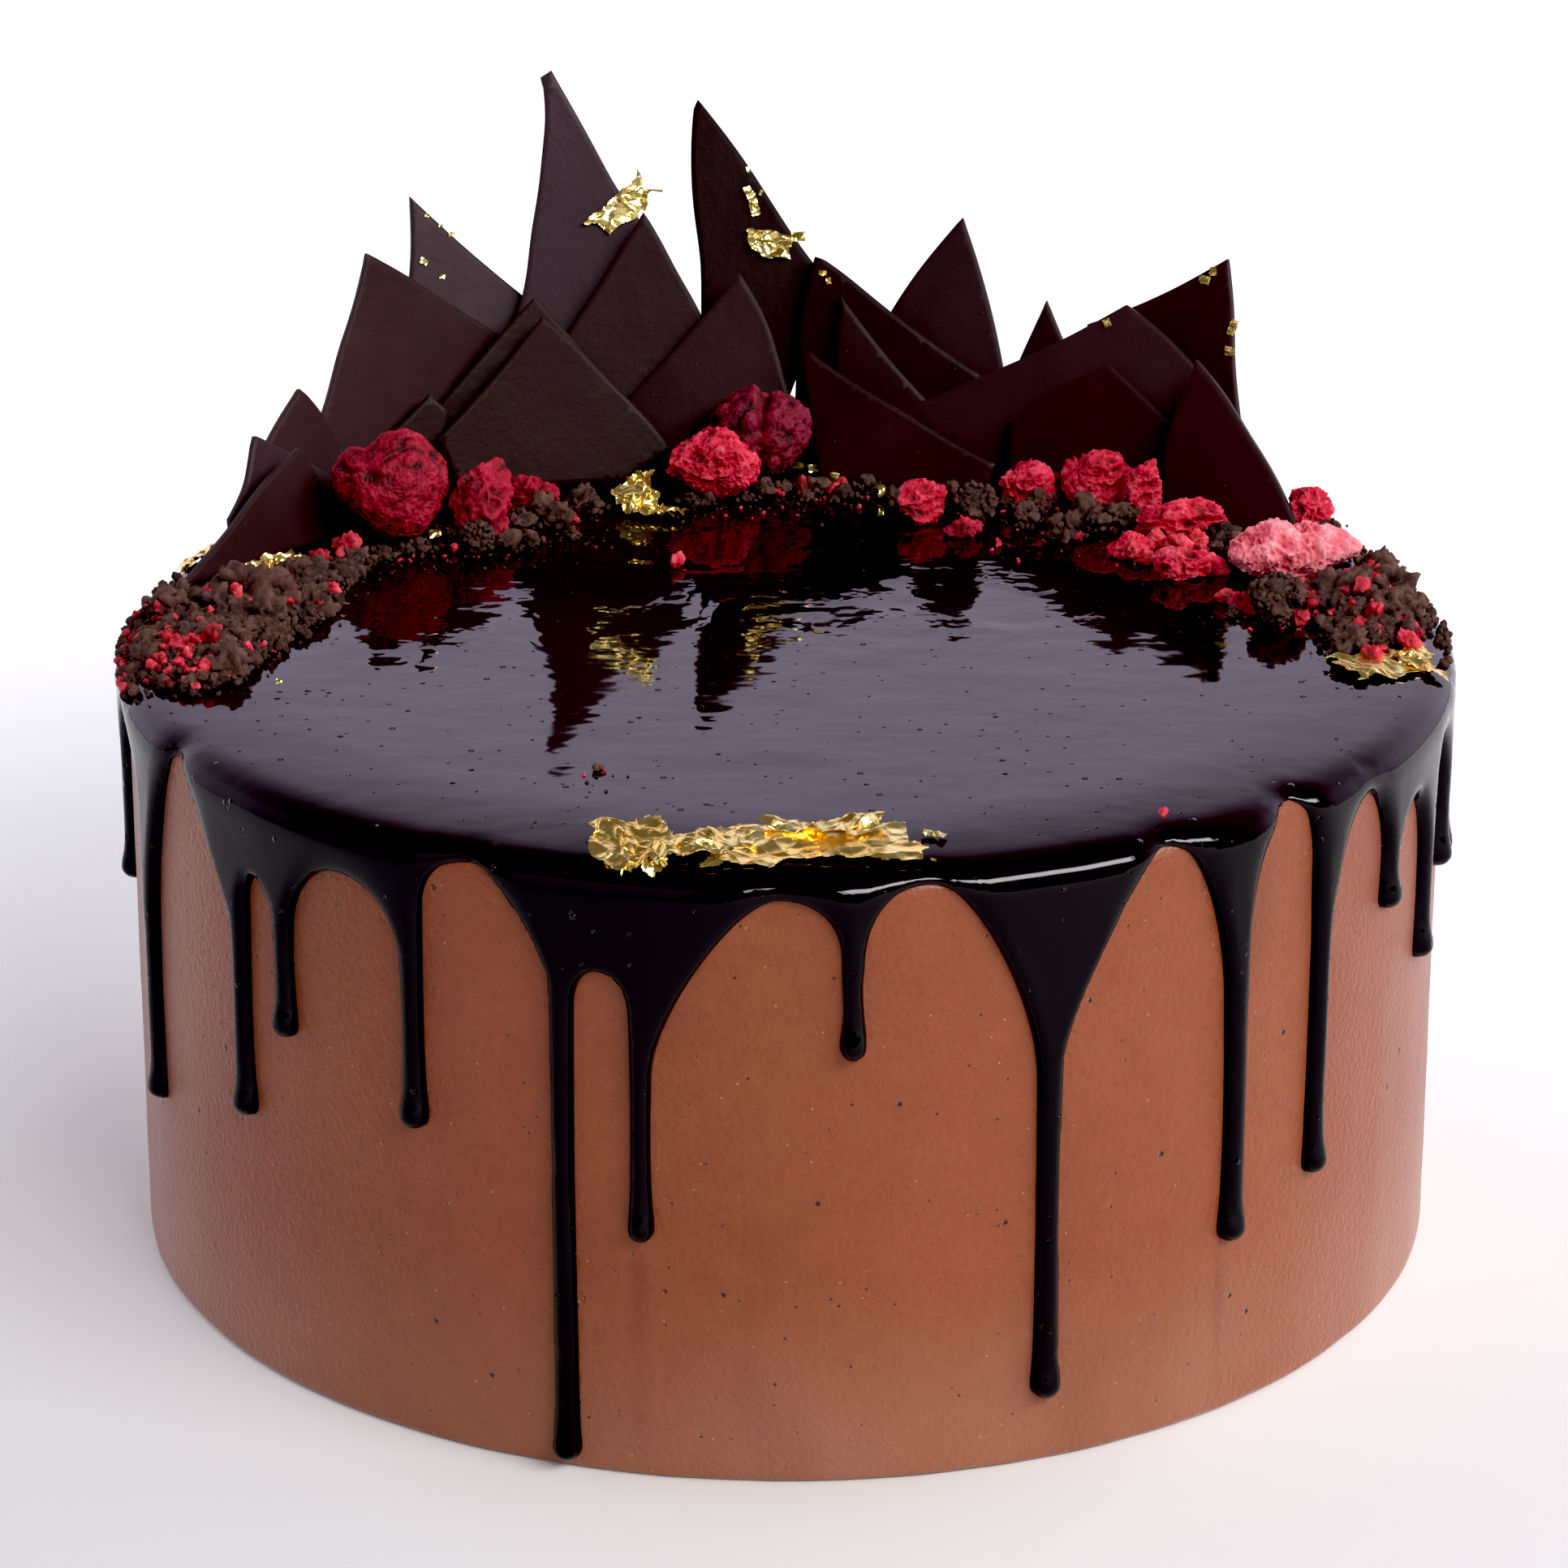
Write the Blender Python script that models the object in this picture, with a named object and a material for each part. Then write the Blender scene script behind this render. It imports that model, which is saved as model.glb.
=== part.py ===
"""Salted caramel chocolate cake, uncut: a straight-sided cake under caramel-brown buttercream, a dark
mirror glaze that runs down the wall in drips, a crescent of thin chocolate shards along the back rim,
dried red berries, chocolate crumb and torn gold leaf. Metres, +Z up, the front faces -Y, the cake
rests on z = 0."""

import math
import random

import bmesh
import bpy
import numpy as np
from mathutils import Matrix, Vector, geometry

for old in list(bpy.data.objects):
    bpy.data.objects.remove(old)

MM = 0.001

# cake body, in mm
BODY_RADIUS = 100.0  # a 20 cm cake
BODY_HEIGHT = 92.0
TOP_EDGE = 3.0  # rounding of the buttercream's top edge
FOOT_EDGE = 0.8
BODY_SIDES = 96

# glaze, in mm
GAP = 0.35  # between the buttercream and the glaze
GLAZE = 1.75  # thickness of the poured glaze
BEAD = 1.7  # how far in from its border the glaze reaches its full thickness
GLAZE_TOP = BODY_HEIGHT + GAP + GLAZE
EDGE_RUN = 5.2  # length along the rounded edge
TOP_RING = 90.0  # radius where the glaze turns into a plain disc
REST = GLAZE_TOP + 0.3  # where toppings stand

# drips: angle from the front in degrees (+ to the right), height of the tip, width,
# height at which the left and the right side become straight, fullness of the left and right curve
DRIPS = [
    (-88.0, 54.0, 3.5, 76, 0.50, 76, 0.50),
    (-69.1, 31.2, 3.7, 78, 0.45, 60, 0.35),
    (-51.0, 40.7, 3.7, 70, 0.24, 75, 0.50),
    (-45.2, 56.3, 3.6, 74, 0.50, 73, 0.55),
    (-31.3, 48.8, 3.7, 74, 0.55, 83, 0.55),
    (-18.0, 1.4, 3.7, 75, 0.26, 72, 0.55),
    (-11.6, 37.0, 3.3, 71, 0.60, 62, 0.32),
    (5.3, 65.3, 3.3, 80, 0.60, 79, 0.60),
    (21.5, 10.3, 3.8, 60, 0.36, 62, 0.24),
    (39.4, 27.4, 3.8, 63, 0.50, 75, 0.45),
    (49.6, 32.4, 3.5, 80, 0.55, 68, 0.50),
    (60.9, 67.3, 3.6, 76, 0.50, 76, 0.50),
    (70.2, 53.4, 3.6, 70, 0.50, 76, 0.50),
    (78.6, 62.5, 3.5, 76, 0.50, 78, 0.50),
    (86.5, 59.0, 3.4, 76, 0.50, 76, 0.50),
]
# lower edge of the glaze midway between two drips: angle and height
ARCHES = [
    (-79.0, 88.0),
    (-61.4, 91.3),
    (-48.4, 79.3),
    (-38.2, 84.6),
    (-25.5, 91.0),
    (-14.9, 77.3),
    (-0.6, 89.0),
    (11.4, 90.9),
    (31.8, 91.5),
    (45.7, 92.6),
    (56.1, 88.0),
    (65.8, 82.0),
    (74.6, 86.0),
    (82.6, 87.0),
]
BACK_DRIPS = 14  # between the last drip on the right and the first on the left, round the back
BACK_SEED = 7

# chocolate shards, in mm and degrees: foot on the glaze (x, y), turn, backward lean, bow of the plate
# and the outline (across, up) from the lower left corner over the point to the lower right corner
SHARD_THICK = 1.4
SHARDS = {
    "shard_front_left": (-83.6, 32.2, 48.6, 16, 0.0, [(-17, 0.4), (-4, 5.5), (13.5, 14.5), (16.5, 7.5), (17.8, 0.4)]),
    "shard_left_low": (-81.5, 43.5, 48, 17, 0.0, [(-10, 0.4), (-9, 4.5), (-3.5, 9), (0, 16), (16.5, 4), (17, 0.4)]),
    "shard_left_small": (-74, 58.5, 42, 17, 0.0, [(-14, 0.4), (-13.5, 8.5), (-1.5, 19.5), (2, 15.5), (6.5, 0.4)]),
    "shard_left_big": (-62, 73, 29, 15, 0.0, [(-13, 0.4), (-18, 6.5), (-10, 22), (-2.5, 37.5), (12, 26.5), (23, 18), (15, 0.4)]),
    "shard_left_back": (-48, 85.6, 16, 19.5, 0.0, [(-10, 0.4), (-14.5, 22), (-11, 44), (10, 23), (10, 0.4)]),
    "shard_tall_left": (-30, 84.2, 5, 21, 1.2, [(-12, 0.4), (-16.5, 18.5), (-11.5, 37.5), (-9, 52.5), (-9, 63.5), (-7.2, 64.6), (3.5, 44), (13, 26), (11, 0.4)]),
    "shard_sliver": (-38, 77, 11, 17, 0.0, [(-16, 0.4), (-20.6, 10.2), (-2, 29), (9.5, 14.5), (6, 0.4)]),
    "shard_front_big": (-37, 72, 11, 17, 0.0, [(-17, 0.4), (-20, 8), (-1.5, 27), (9.5, 15), (18.5, 4), (10, 0.4)]),
    "shard_left_tiny": (-58, 70.3, 16, 16, 0.0, [(-9, 0.4), (-10.5, 5.5), (0.5, 14.5), (3.5, 11.5), (2, 0.4)]),
    "shard_mid_left": (-21, 81.5, 3, 18, 0.0, [(-14, 0.4), (-18.5, 16.5), (-2, 41.5), (2.5, 31), (9.5, 19), (11, 0.4)]),
    "shard_mid": (-8, 78.8, -2, 17, 0.0, [(-14, 0.4), (-22, 7.5), (0, 32), (7, 16.5), (10, 0.4)]),
    "shard_tall_right": (0, 85.3, -2, 21, -1.4, [(-13, 0.4), (-14.5, 32.5), (-16.5, 54.5), (-15.5, 59.5), (-3, 42.5), (9.5, 26), (0, 9), (-1, 0.4)]),
    "shard_right_ridge": (15, 83, -5, 17, 0.0, [(-14, 0.4), (-13.5, 22), (-11, 33.5), (-7.5, 32), (17, 14.5), (16, 0.4)]),
    "shard_right_inner": (16, 80.8, -5, 17, 0.0, [(-8, 0.4), (-7.5, 27.5), (10.5, 7.5), (11, 0.4)]),
    "shard_back_mid": (29, 89.5, -9, 16, 0.0, [(-13, 0.4), (-15.5, 16.5), (-1, 38.5), (8, 9), (9, 0.4)]),
    "shard_front_mid": (20, 71.5, -10, 17, 0.0, [(-14, 0.4), (-16, 3.5), (-18.5, 18.5), (-17.5, 20.5), (-0.5, 11), (14.5, 3.5), (13, 0.4)]),
    "shard_back_small": (43, 84.5, -16, 16, 0.0, [(-5, 0.4), (-6.5, 13), (-1.5, 26), (4.5, 14.5), (5, 0.4)]),
    "shard_long_blade": (41, 70.2, -19.5, 17, 0.0, [(-18, 0.4), (-26.5, 9.5), (-12, 16), (12.5, 30.5), (25.5, 21), (24, 10), (18, 0.4)]),
    "shard_right_back": (74, 60.5, -30, 18, -1.0, [(-22, 0.4), (-32, 24.5), (-9, 38.5), (-5, 22), (2, 0.4)]),
    "shard_right_mid": (49, 63.8, -22, 17, 0.0, [(-13.5, 0.4), (-14, 10), (-4, 18.5), (1.5, 21.5), (15, 11.5), (16, 0.4)]),
    "shard_right_front": (72, 49.5, -27, 16, 0.0, [(-13, 0.4), (-13.5, 13), (-10, 25), (0, 15), (12, 0.4)]),
}

# whole dried red berries: base (x, y), half sizes, turn and tilt in degrees, drupelets, cleft depth
BERRIES = {
    "berry_heart": (-63.0, 41.9, 8.7, 7.6, 8.6, 8, 14, 70, 0.16),
    "berry_folded": (-4.3, 73.0, 8.0, 6.6, 7.6, -6, -8, 60, 0.22),
    "berry_bright": (-11.0, 63.6, 6.7, 5.4, 4.9, 4, 18, 50, 0.10),
    "berry_long_pink": (79.6, 26.0, 11.2, 4.5, 4.0, 22, 6, 60, 0.08),
}

# broken berry pieces: base (x, y), half sizes, turn in degrees
PIECES = {
    "berry_piece_1": (-48.0, 43.6, 3.9, 3.4, 6.2, 20),
    "berry_piece_2": (-40.8, 56.0, 3.3, 2.6, 3.0, -15),
    "berry_piece_3": (22.2, 51.5, 3.6, 2.9, 3.3, 12),
    "berry_piece_4": (28.6, 43.6, 2.5, 2.0, 1.6, 0),
    "berry_piece_5": (38.6, 59.2, 4.2, 3.0, 3.3, -10),
    "berry_piece_6": (49.4, 58.0, 5.0, 3.2, 4.6, 8),
    "berry_piece_7": (57.8, 53.0, 3.0, 2.5, 4.9, 30),
    "berry_piece_8": (62.4, 42.0, 6.6, 3.5, 3.4, -8),
    "berry_piece_9": (63.4, 23.6, 4.9, 3.0, 2.5, 5),
    "berry_piece_10": (84.2, 48.4, 2.6, 2.3, 4.2, 0),
    "berry_piece_11": (54.6, 33.4, 3.0, 2.4, 2.0, 40),
}

# clusters of chocolate crumb as large as a berry: base (x, y), half sizes
CLUSTERS = {
    "crumb_cluster_mid": (30.4, 51.2, 3.6, 3.0, 3.2),
    "crumb_cluster_right": (75.2, 2.2, 3.9, 3.6, 3.8),
    "crumb_cluster_far": (-49.0, 36.4, 2.8, 2.4, 2.3),
}

# heaps of crumb on the glaze: outline corners in plan, height
HEAPS = {
    "crumb_heap_left": ([(-73.0, 28.6), (-84.2, 17.6), (-94.6, 9.6), (-98.2, 0.0), (-97.4, -14.0), (-93.4, -26.5), (-87.0, -30.0), (-80.6, -25.6), (-77.4, -15.0), (-74.0, -6.0), (-70.6, 2.6), (-69.6, 12.0), (-67.8, 20.0), (-67.0, 26.0)], 5.0),
    "crumb_heap_right": ([(79.8, 1.4), (82.5, -3.5), (86.0, -7.5), (90.5, -9.5), (95.0, -6.5), (97.6, 2.0), (97.2, 14.0), (94.0, 24.5), (88.0, 20.4), (82.0, 17.0), (78.5, 12.5), (77.8, 7.4)], 6.0),
}

# torn gold leaf lying on the glaze or on a shard: centre (x, y), half length, half width, turn, height
LEAVES_TOP = {
    "gold_leaf_front": (-4.0, -91.0, 23.5, 5.2, 3, 4.2),
    "gold_leaf_right": (90.6, -19.0, 7.6, 5.0, 24, 2.6),
    "gold_leaf_mid": (-22.6, 54.0, 5.4, 3.2, -14, 6.0),
    "gold_leaf_left": (-80.2, 25.2, 5.4, 1.7, 46, 2.4),
    "gold_leaf_rim": (-92.4, 38.6, 5.6, 1.7, 62, 1.8),
}
# on a shard: name of the shard, place (across, up), half length, half width, turn, stand-off
LEAVES_SHARD = {
    "gold_leaf_tall_left": ("shard_tall_left", 3.6, 41.6, 6.8, 2.6, 44, 1.1),
    "gold_leaf_tall_right": ("shard_tall_right", -3.0, 35.2, 4.6, 2.9, -12, 1.1),
}


def material(name, colour, rough, metal=0.0):
    m = bpy.data.materials.new(name)
    m.use_nodes = True
    bsdf = m.node_tree.nodes["Principled BSDF"]
    bsdf.inputs["Base Color"].default_value = (*colour, 1.0)
    bsdf.inputs["Roughness"].default_value = rough
    bsdf.inputs["Metallic"].default_value = metal
    m.diffuse_color = (*colour, 1.0)
    return m


def body_object(name, verts, faces, mat):
    """One closed solid from points in mm, its faces turned outward."""
    mesh = bpy.data.meshes.new(name)
    mesh.from_pydata([tuple(c * MM for c in v) for v in verts], [], faces)
    bm = bmesh.new()
    bm.from_mesh(mesh)
    bmesh.ops.recalc_face_normals(bm, faces=bm.faces)
    bm.to_mesh(mesh)
    bm.free()
    mesh.materials.append(mat)
    ob = bpy.data.objects.new(name, mesh)
    bpy.context.scene.collection.objects.link(ob)
    return ob


def bezier(a, b, c, d, count):
    """Points on a cubic curve, without its first end."""
    out = []
    for i in range(1, count + 1):
        t = i / count
        w = ((1 - t) ** 3, 3 * t * (1 - t) ** 2, 3 * t * t * (1 - t), t**3)
        out.append(tuple(w[0] * a[k] + w[1] * b[k] + w[2] * c[k] + w[3] * d[k] for k in (0, 1)))
    return out


def border_distance(points, border):
    """Distance in mm from each point to a polyline."""
    p = np.asarray(points, float)
    a = np.asarray(border[:-1], float)
    b = np.asarray(border[1:], float)
    ab = b - a
    length = (ab**2).sum(1)
    out = np.full(len(p), 1e9)
    for start in range(0, len(a), 200):
        aa, dd, ll = a[start : start + 200], ab[start : start + 200], length[start : start + 200]
        rel = p[:, None, :] - aa[None]
        t = np.clip((rel * dd[None]).sum(2) / ll[None], 0, 1)
        gap = rel - t[..., None] * dd[None]
        out = np.minimum(out, np.sqrt((gap**2).sum(2)).min(1))
    return out


def inside(point, polygon):
    x, y = point
    hit = False
    for (ax, ay), (bx, by) in zip(polygon, polygon[1:] + polygon[:1]):
        if (ay > y) != (by > y) and x < (bx - ax) * (y - ay) / (by - ay) + ax:
            hit = not hit
    return hit


def triangulate(outline, inner):
    """Triangles that fill an outline and pass through the inner points."""
    points = list(outline) + list(inner)
    done = geometry.delaunay_2d_cdt([Vector(p) for p in points], [], [list(range(len(outline)))], 1, 1e-7)
    order = [points[origins[0]] if origins else tuple(at) for at, origins in zip(done[0], done[3])]
    return order, [tuple(f) for f in done[2]]


# the glaze -----------------------------------------------------------------------------------------


def drip_tables():
    """All drips and arches round the cake, in order of angle from the back seam to the back seam."""
    rng = random.Random(BACK_SEED)
    drips, arches = list(DRIPS), list(ARCHES)
    first, last = drips[0][0], drips[-1][0]
    span = 360.0 - (last - first)
    step = span / (BACK_DRIPS + 1)
    angles = [last + step * (i + 1) + rng.uniform(-0.26, 0.26) * step for i in range(BACK_DRIPS)]
    whole = [last] + angles + [first + 360.0]
    for a, b in zip(whole, whole[1:]):
        arches.append(((a + b) / 2 + rng.uniform(-0.12, 0.12) * (b - a), rng.uniform(82.0, 91.8)))
    for a in angles:
        drips.append((a, rng.choice((8, 22, 34, 42, 50, 58, 66)) + rng.uniform(-5, 5), rng.uniform(3.4, 3.9),
                      rng.uniform(64, 77), rng.uniform(0.28, 0.58), rng.uniform(64, 77), rng.uniform(0.28, 0.58)))
    return drips, arches


def glaze_border(steps, bends):
    """The glaze's lower border, unrolled: x along the wall in mm, y up the wall, one turn long, and it starts
    and ends at the arch nearest the back."""
    drips, arches = drip_tables()
    seam = min(arches, key=lambda a: abs(a[0] - 180.0))
    scale = math.radians(1.0) * BODY_RADIUS
    left = seam[0] - 360.0
    turn = lambda angle: angle - 360.0 if angle > seam[0] else angle
    drips = sorted((turn(d[0]), *d[1:]) for d in drips)
    arches = sorted([(turn(a[0]), a[1]) for a in arches if a is not seam] + [(left, seam[1]), seam])
    line = [(arches[0][0] * scale, arches[0][1])]
    for (angle, tip, width, neck_l, full_l, neck_r, full_r), before, after in zip(drips, arches, arches[1:]):
        c, half = angle * scale, width / 2
        bulb = half * 1.1
        ax, az, bx, bz = before[0] * scale, before[1], after[0] * scale, after[1]
        nl, nr = min(neck_l, az - 3), min(neck_r, bz - 3)
        if tip > nl - 4:
            nl = tip + 4
        if tip > nr - 4:
            nr = tip + 4
        line += bezier((ax, az), (ax + (c - half - ax) * full_l, az), (c - half, nl + (az - nl) * full_l), (c - half, nl), steps)
        low = tip + bulb
        mid = max(low + 3.0, low + 0.12 * (nl - low))
        runs = max(1, int((nl - mid) / bends))
        for i in range(1, runs + 1):
            line.append((c - half * 0.92 + half * -0.08 * (1 - i / runs), nl + (mid - nl) * i / runs))
        turns = max(5, steps)
        for i in range(turns + 1):
            a = math.pi * i / turns
            line.append((c - bulb * math.cos(a), low - bulb * math.sin(a)))
        mid = max(low + 3.0, low + 0.12 * (nr - low))
        runs = max(1, int((nr - mid) / bends))
        for i in range(runs):
            line.append((c + half * 0.92 + half * 0.08 * i / runs, mid + (nr - mid) * i / runs))
        line.append((c + half, nr))
        line += bezier((c + half, nr), (c + half, nr + (bz - nr) * full_r), (bx - (bx - c - half) * full_r, bz), (bx, bz), steps)
    return line


def skin_point(x, y, off):
    """From the unrolled wall to the cake: y runs up the wall, round the edge and in over the top."""
    angle = x / BODY_RADIUS - math.pi / 2
    wall = BODY_HEIGHT - TOP_EDGE
    if y <= wall:
        r, z = BODY_RADIUS + off, y
    elif y <= wall + EDGE_RUN:
        a = (y - wall) / EDGE_RUN * math.pi / 2
        r = BODY_RADIUS - TOP_EDGE + (TOP_EDGE + off) * math.cos(a)
        z = wall + (TOP_EDGE + off) * math.sin(a)
    else:
        r, z = BODY_RADIUS - TOP_EDGE - (y - wall - EDGE_RUN), BODY_HEIGHT + off
    return (r * math.cos(angle), r * math.sin(angle), z)


def bead(distance):
    """Thickness of the glaze this far in from its border: a round bead, then even."""
    if distance >= BEAD:
        return GLAZE
    return GLAZE * math.sqrt(max(0.0, 1 - (1 - distance / BEAD) ** 2))


def ganache_glaze(mat):
    border = glaze_border(4, 14.0)
    x0, x1 = border[0][0], border[-1][0]
    turn = x1 - x0
    wall = BODY_HEIGHT - TOP_EDGE
    top = wall + EDGE_RUN + (BODY_RADIUS - TOP_EDGE - TOP_RING)
    seam_up = [h for h in (wall + EDGE_RUN * k for k in (0.0, 0.25, 0.5, 0.75, 1.0)) if h > border[0][1] + 0.8] + [top]
    across = 72
    top_row = [(x0 + turn * i / across, top) for i in range(across + 1)]
    outline = list(border) + [(x1, h) for h in seam_up] + top_row[-2:0:-1] + [(x0, h) for h in reversed(seam_up)]
    around = [(x - turn, y) for x, y in border[:-1]] + list(border) + [(x + turn, y) for x, y in border[1:]]
    near = [p for p in around if x0 - 20 < p[0] < x1 + 20]

    grid = []
    for row, h in enumerate([wall + EDGE_RUN * k for k in (0.0, 0.35, 0.7, 1.0)]):
        for i in range(1, across):
            grid.append((x0 + turn * (i + 0.5 * (row % 2)) / across, h))
    for i in range(1, across):
        grid.append((x0 + turn * i / across, wall - 5.0))
        grid.append((x0 + turn * (i + 0.5) / across, wall - 11.0))
    ring = []
    for a, b, c in zip(border, border[1:], border[2:]):
        dx, dy = c[0] - a[0], c[1] - a[1]
        size = math.hypot(dx, dy)
        for depth in (0.55, 1.5):
            ring.append((b[0] - dy / size * depth, b[1] + dx / size * depth, depth))
    reach = border_distance([p[:2] for p in ring], near)
    ring = [(p[0], p[1]) for p, d in zip(ring, reach) if d > 0.93 * p[2] and x0 + 1 < p[0] < x1 - 1]
    reach = border_distance(grid, near)
    loop = list(border) + [(x1, top), (x0, top)]
    wide = [p for p, d in zip(grid, reach) if d > 2.4 and inside(p, loop)]
    under = [(x0 + turn * (i + 0.5 * (row % 2)) / 96, wall + EDGE_RUN * k) for row, k in enumerate((-1.2, 0.0, 0.25, 0.5, 0.75, 1.0)) for i in range(1, 96)]
    lining = [p for p, d in zip(under, border_distance(under, near)) if d > 0.4 and inside(p, loop)]
    inner_points, kept = [], set()
    for p in ring:
        cell = (round(p[0] / 1.2), round(p[1] / 1.2))
        if cell in kept or not inside(p, loop):
            continue
        kept.add(cell)
        inner_points.append(p)

    index, verts, faces = {}, [], []

    def vertex(x, y, off):
        p = skin_point(x, y, off)
        key = tuple(round(c, 4) for c in p)
        if key not in index:
            index[key] = len(verts)
            verts.append(p)
        return index[key]

    flat, tris = triangulate(outline, wide + inner_points)
    depth = border_distance(flat, near)
    outer = [vertex(x, y, GAP + (bead(d) if d > 1e-4 else 0.0)) for (x, y), d in zip(flat, depth)]
    faces += [tuple(outer[i] for i in f) for f in tris]
    flat, tris = triangulate(outline, lining)
    inner = [vertex(x, y, GAP) for x, y in flat]
    faces += [tuple(inner[i] for i in reversed(f)) for f in tris]
    for off, sense in ((GAP + GLAZE, 1), (GAP, -1)):
        hub = len(verts)
        verts.append((0.0, 0.0, BODY_HEIGHT + off))
        rim = [vertex(x, top, off) for x, _ in top_row]
        for a, b in zip(rim, rim[1:]):
            faces.append((a, b, hub)[::sense])
    faces = [f for f in faces if len(set(f)) == 3]
    return body_object("ganache_glaze", verts, faces, mat)


# the body, the shards and the toppings ----------------------------------------------------------------


def cake_body(mat):
    """The cake with its buttercream, turned about its axis."""
    profile = [(BODY_RADIUS - FOOT_EDGE, 0.0), (BODY_RADIUS, FOOT_EDGE)]
    for i in range(3):
        a = math.pi / 2 * i / 2
        profile.append((BODY_RADIUS - TOP_EDGE + TOP_EDGE * math.cos(a), BODY_HEIGHT - TOP_EDGE + TOP_EDGE * math.sin(a)))
    verts, faces = [], []
    for r, z in profile:
        for i in range(BODY_SIDES):
            a = 2 * math.pi * i / BODY_SIDES
            verts.append((r * math.cos(a), r * math.sin(a), z))
    for k in range(len(profile) - 1):
        for i in range(BODY_SIDES):
            j = (i + 1) % BODY_SIDES
            a, b = k * BODY_SIDES, (k + 1) * BODY_SIDES
            faces.append((a + i, a + j, b + j, b + i))
    faces.append(tuple(reversed(range(BODY_SIDES))))
    last = (len(profile) - 1) * BODY_SIDES
    faces.append(tuple(range(last, last + BODY_SIDES)))
    return body_object("cake_body", verts, faces, mat)


def shard_frame(name):
    """Foot, across, up and forward directions of a shard."""
    x, y, turn, lean = SHARDS[name][:4]
    t, l = math.radians(turn), math.radians(lean)
    across = Vector((math.cos(t), math.sin(t), 0))
    front = Vector((math.sin(t), -math.cos(t), 0))
    up = Vector((0, 0, 1)) * math.cos(l) - front * math.sin(l)
    out = front * math.cos(l) + Vector((0, 0, 1)) * math.sin(l)
    return Vector((x, y, REST)), across, up, out


def shard_bow(name, u, v):
    """How far a bowed plate stands forward of its plane."""
    bow = SHARDS[name][4]
    return bow * (v / 40.0) ** 2 - bow * (v / 40.0)


def shard(name, mat):
    foot, across, up, out = shard_frame(name)
    outline = SHARDS[name][5]
    outline = list(reversed(outline))
    inner = []
    if SHARDS[name][4]:
        dense = []
        for a, b in zip(outline, outline[1:] + outline[:1]):
            parts = max(1, int(math.dist(a, b) / 8.0))
            dense += [(a[0] + (b[0] - a[0]) * i / parts, a[1] + (b[1] - a[1]) * i / parts) for i in range(parts)]
        outline = dense
        near = outline + outline[:1]
        spots = [(-36 + 7.5 * i, 6 + 7.5 * k) for i in range(11) for k in range(9)]
        reach = border_distance(spots, near)
        inner = [p for p, d in zip(spots, reach) if d > 2.5 and inside(p, outline)]
    flat, tris = triangulate(outline, inner)
    verts = []
    for side in (0.5, -0.5):
        for u, v in flat:
            p = foot + across * u + up * v + out * (shard_bow(name, u, v) + side * SHARD_THICK)
            verts.append(tuple(p))
    n = len(flat)
    faces = [tuple(f) for f in tris] + [tuple(i + n for i in reversed(f)) for f in tris]
    edges = {}
    for f in tris:
        for a, b in zip(f, f[1:] + f[:1]):
            edges[(a, b)] = True
    for a, b in edges:
        if (b, a) not in edges:
            faces.append((b, a, a + n, b + n))
    return body_object(name, verts, faces, mat)


def sphere_points(level):
    bm = bmesh.new()
    bmesh.ops.create_icosphere(bm, subdivisions=level, radius=1.0)
    verts = [v.co.copy() for v in bm.verts]
    faces = [tuple(v.index for v in f.verts) for f in bm.faces]
    bm.free()
    return verts, faces


def spiral(count):
    """Evenly spread directions."""
    golden = math.pi * (3 - math.sqrt(5))
    out = []
    for i in range(count):
        z = 1 - 2 * (i + 0.5) / count
        r = math.sqrt(1 - z * z)
        out.append(Vector((r * math.cos(golden * i), r * math.sin(golden * i), z)))
    return out


def berry(name, mat):
    """A whole dried berry: drupelets over a rounded cone with a cleft at its top."""
    x, y, rx, ry, rz, turn, tilt, count, cleft = BERRIES[name]
    verts, faces = sphere_points(3 if rx > 7 else 3)
    seeds = spiral(count)
    near = math.sqrt(4 * math.pi / count) * 0.62
    spin = Matrix.Rotation(math.radians(turn), 3, "Z") @ Matrix.Rotation(math.radians(tilt), 3, "Y")
    out = []
    for v in verts:
        d = min((v - s).length for s in seeds)
        bump = 1.0 - 0.13 * min(1.0, (d / near) ** 2)
        dip = cleft * math.exp(-((v.x / 0.32) ** 2)) * max(0.0, v.z) ** 2
        narrow = 1.0 - 0.14 * max(0.0, -v.z)
        p = Vector((v.x * rx * narrow, v.y * ry * narrow, v.z * rz)) * (bump - dip)
        out.append(spin @ p)
    low = min(p.z for p in out)
    return body_object(name, [(p.x + x, p.y + y, p.z - low + REST) for p in out], faces, mat)


def lump(name, x, y, rx, ry, rz, turn, mat, rough, level=2):
    """A broken piece: an uneven rounded block, flat where it rests."""
    rng = random.Random(name)
    verts, faces = sphere_points(level)
    seeds = [Vector((rng.gauss(0, 1), rng.gauss(0, 1), rng.gauss(0, 1))).normalized() for _ in range(9)]
    sizes = [rng.uniform(-rough, rough) for _ in seeds]
    spin = Matrix.Rotation(math.radians(turn), 3, "Z")
    out = []
    for v in verts:
        swell = 1.0 + sum(s * math.exp(-((v - d).length_squared) / 0.5) for s, d in zip(sizes, seeds))
        box = max(abs(v.x), abs(v.y), abs(v.z)) ** -0.45
        p = Vector((v.x * rx, v.y * ry, v.z * rz)) * swell * box * 0.93
        out.append(spin @ p)
    low = -rz * 0.86
    return body_object(name, [(p.x + x, p.y + y, max(p.z, low + 0.02 * p.z) - low * 1.02 + REST) for p in out], faces, mat)


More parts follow.
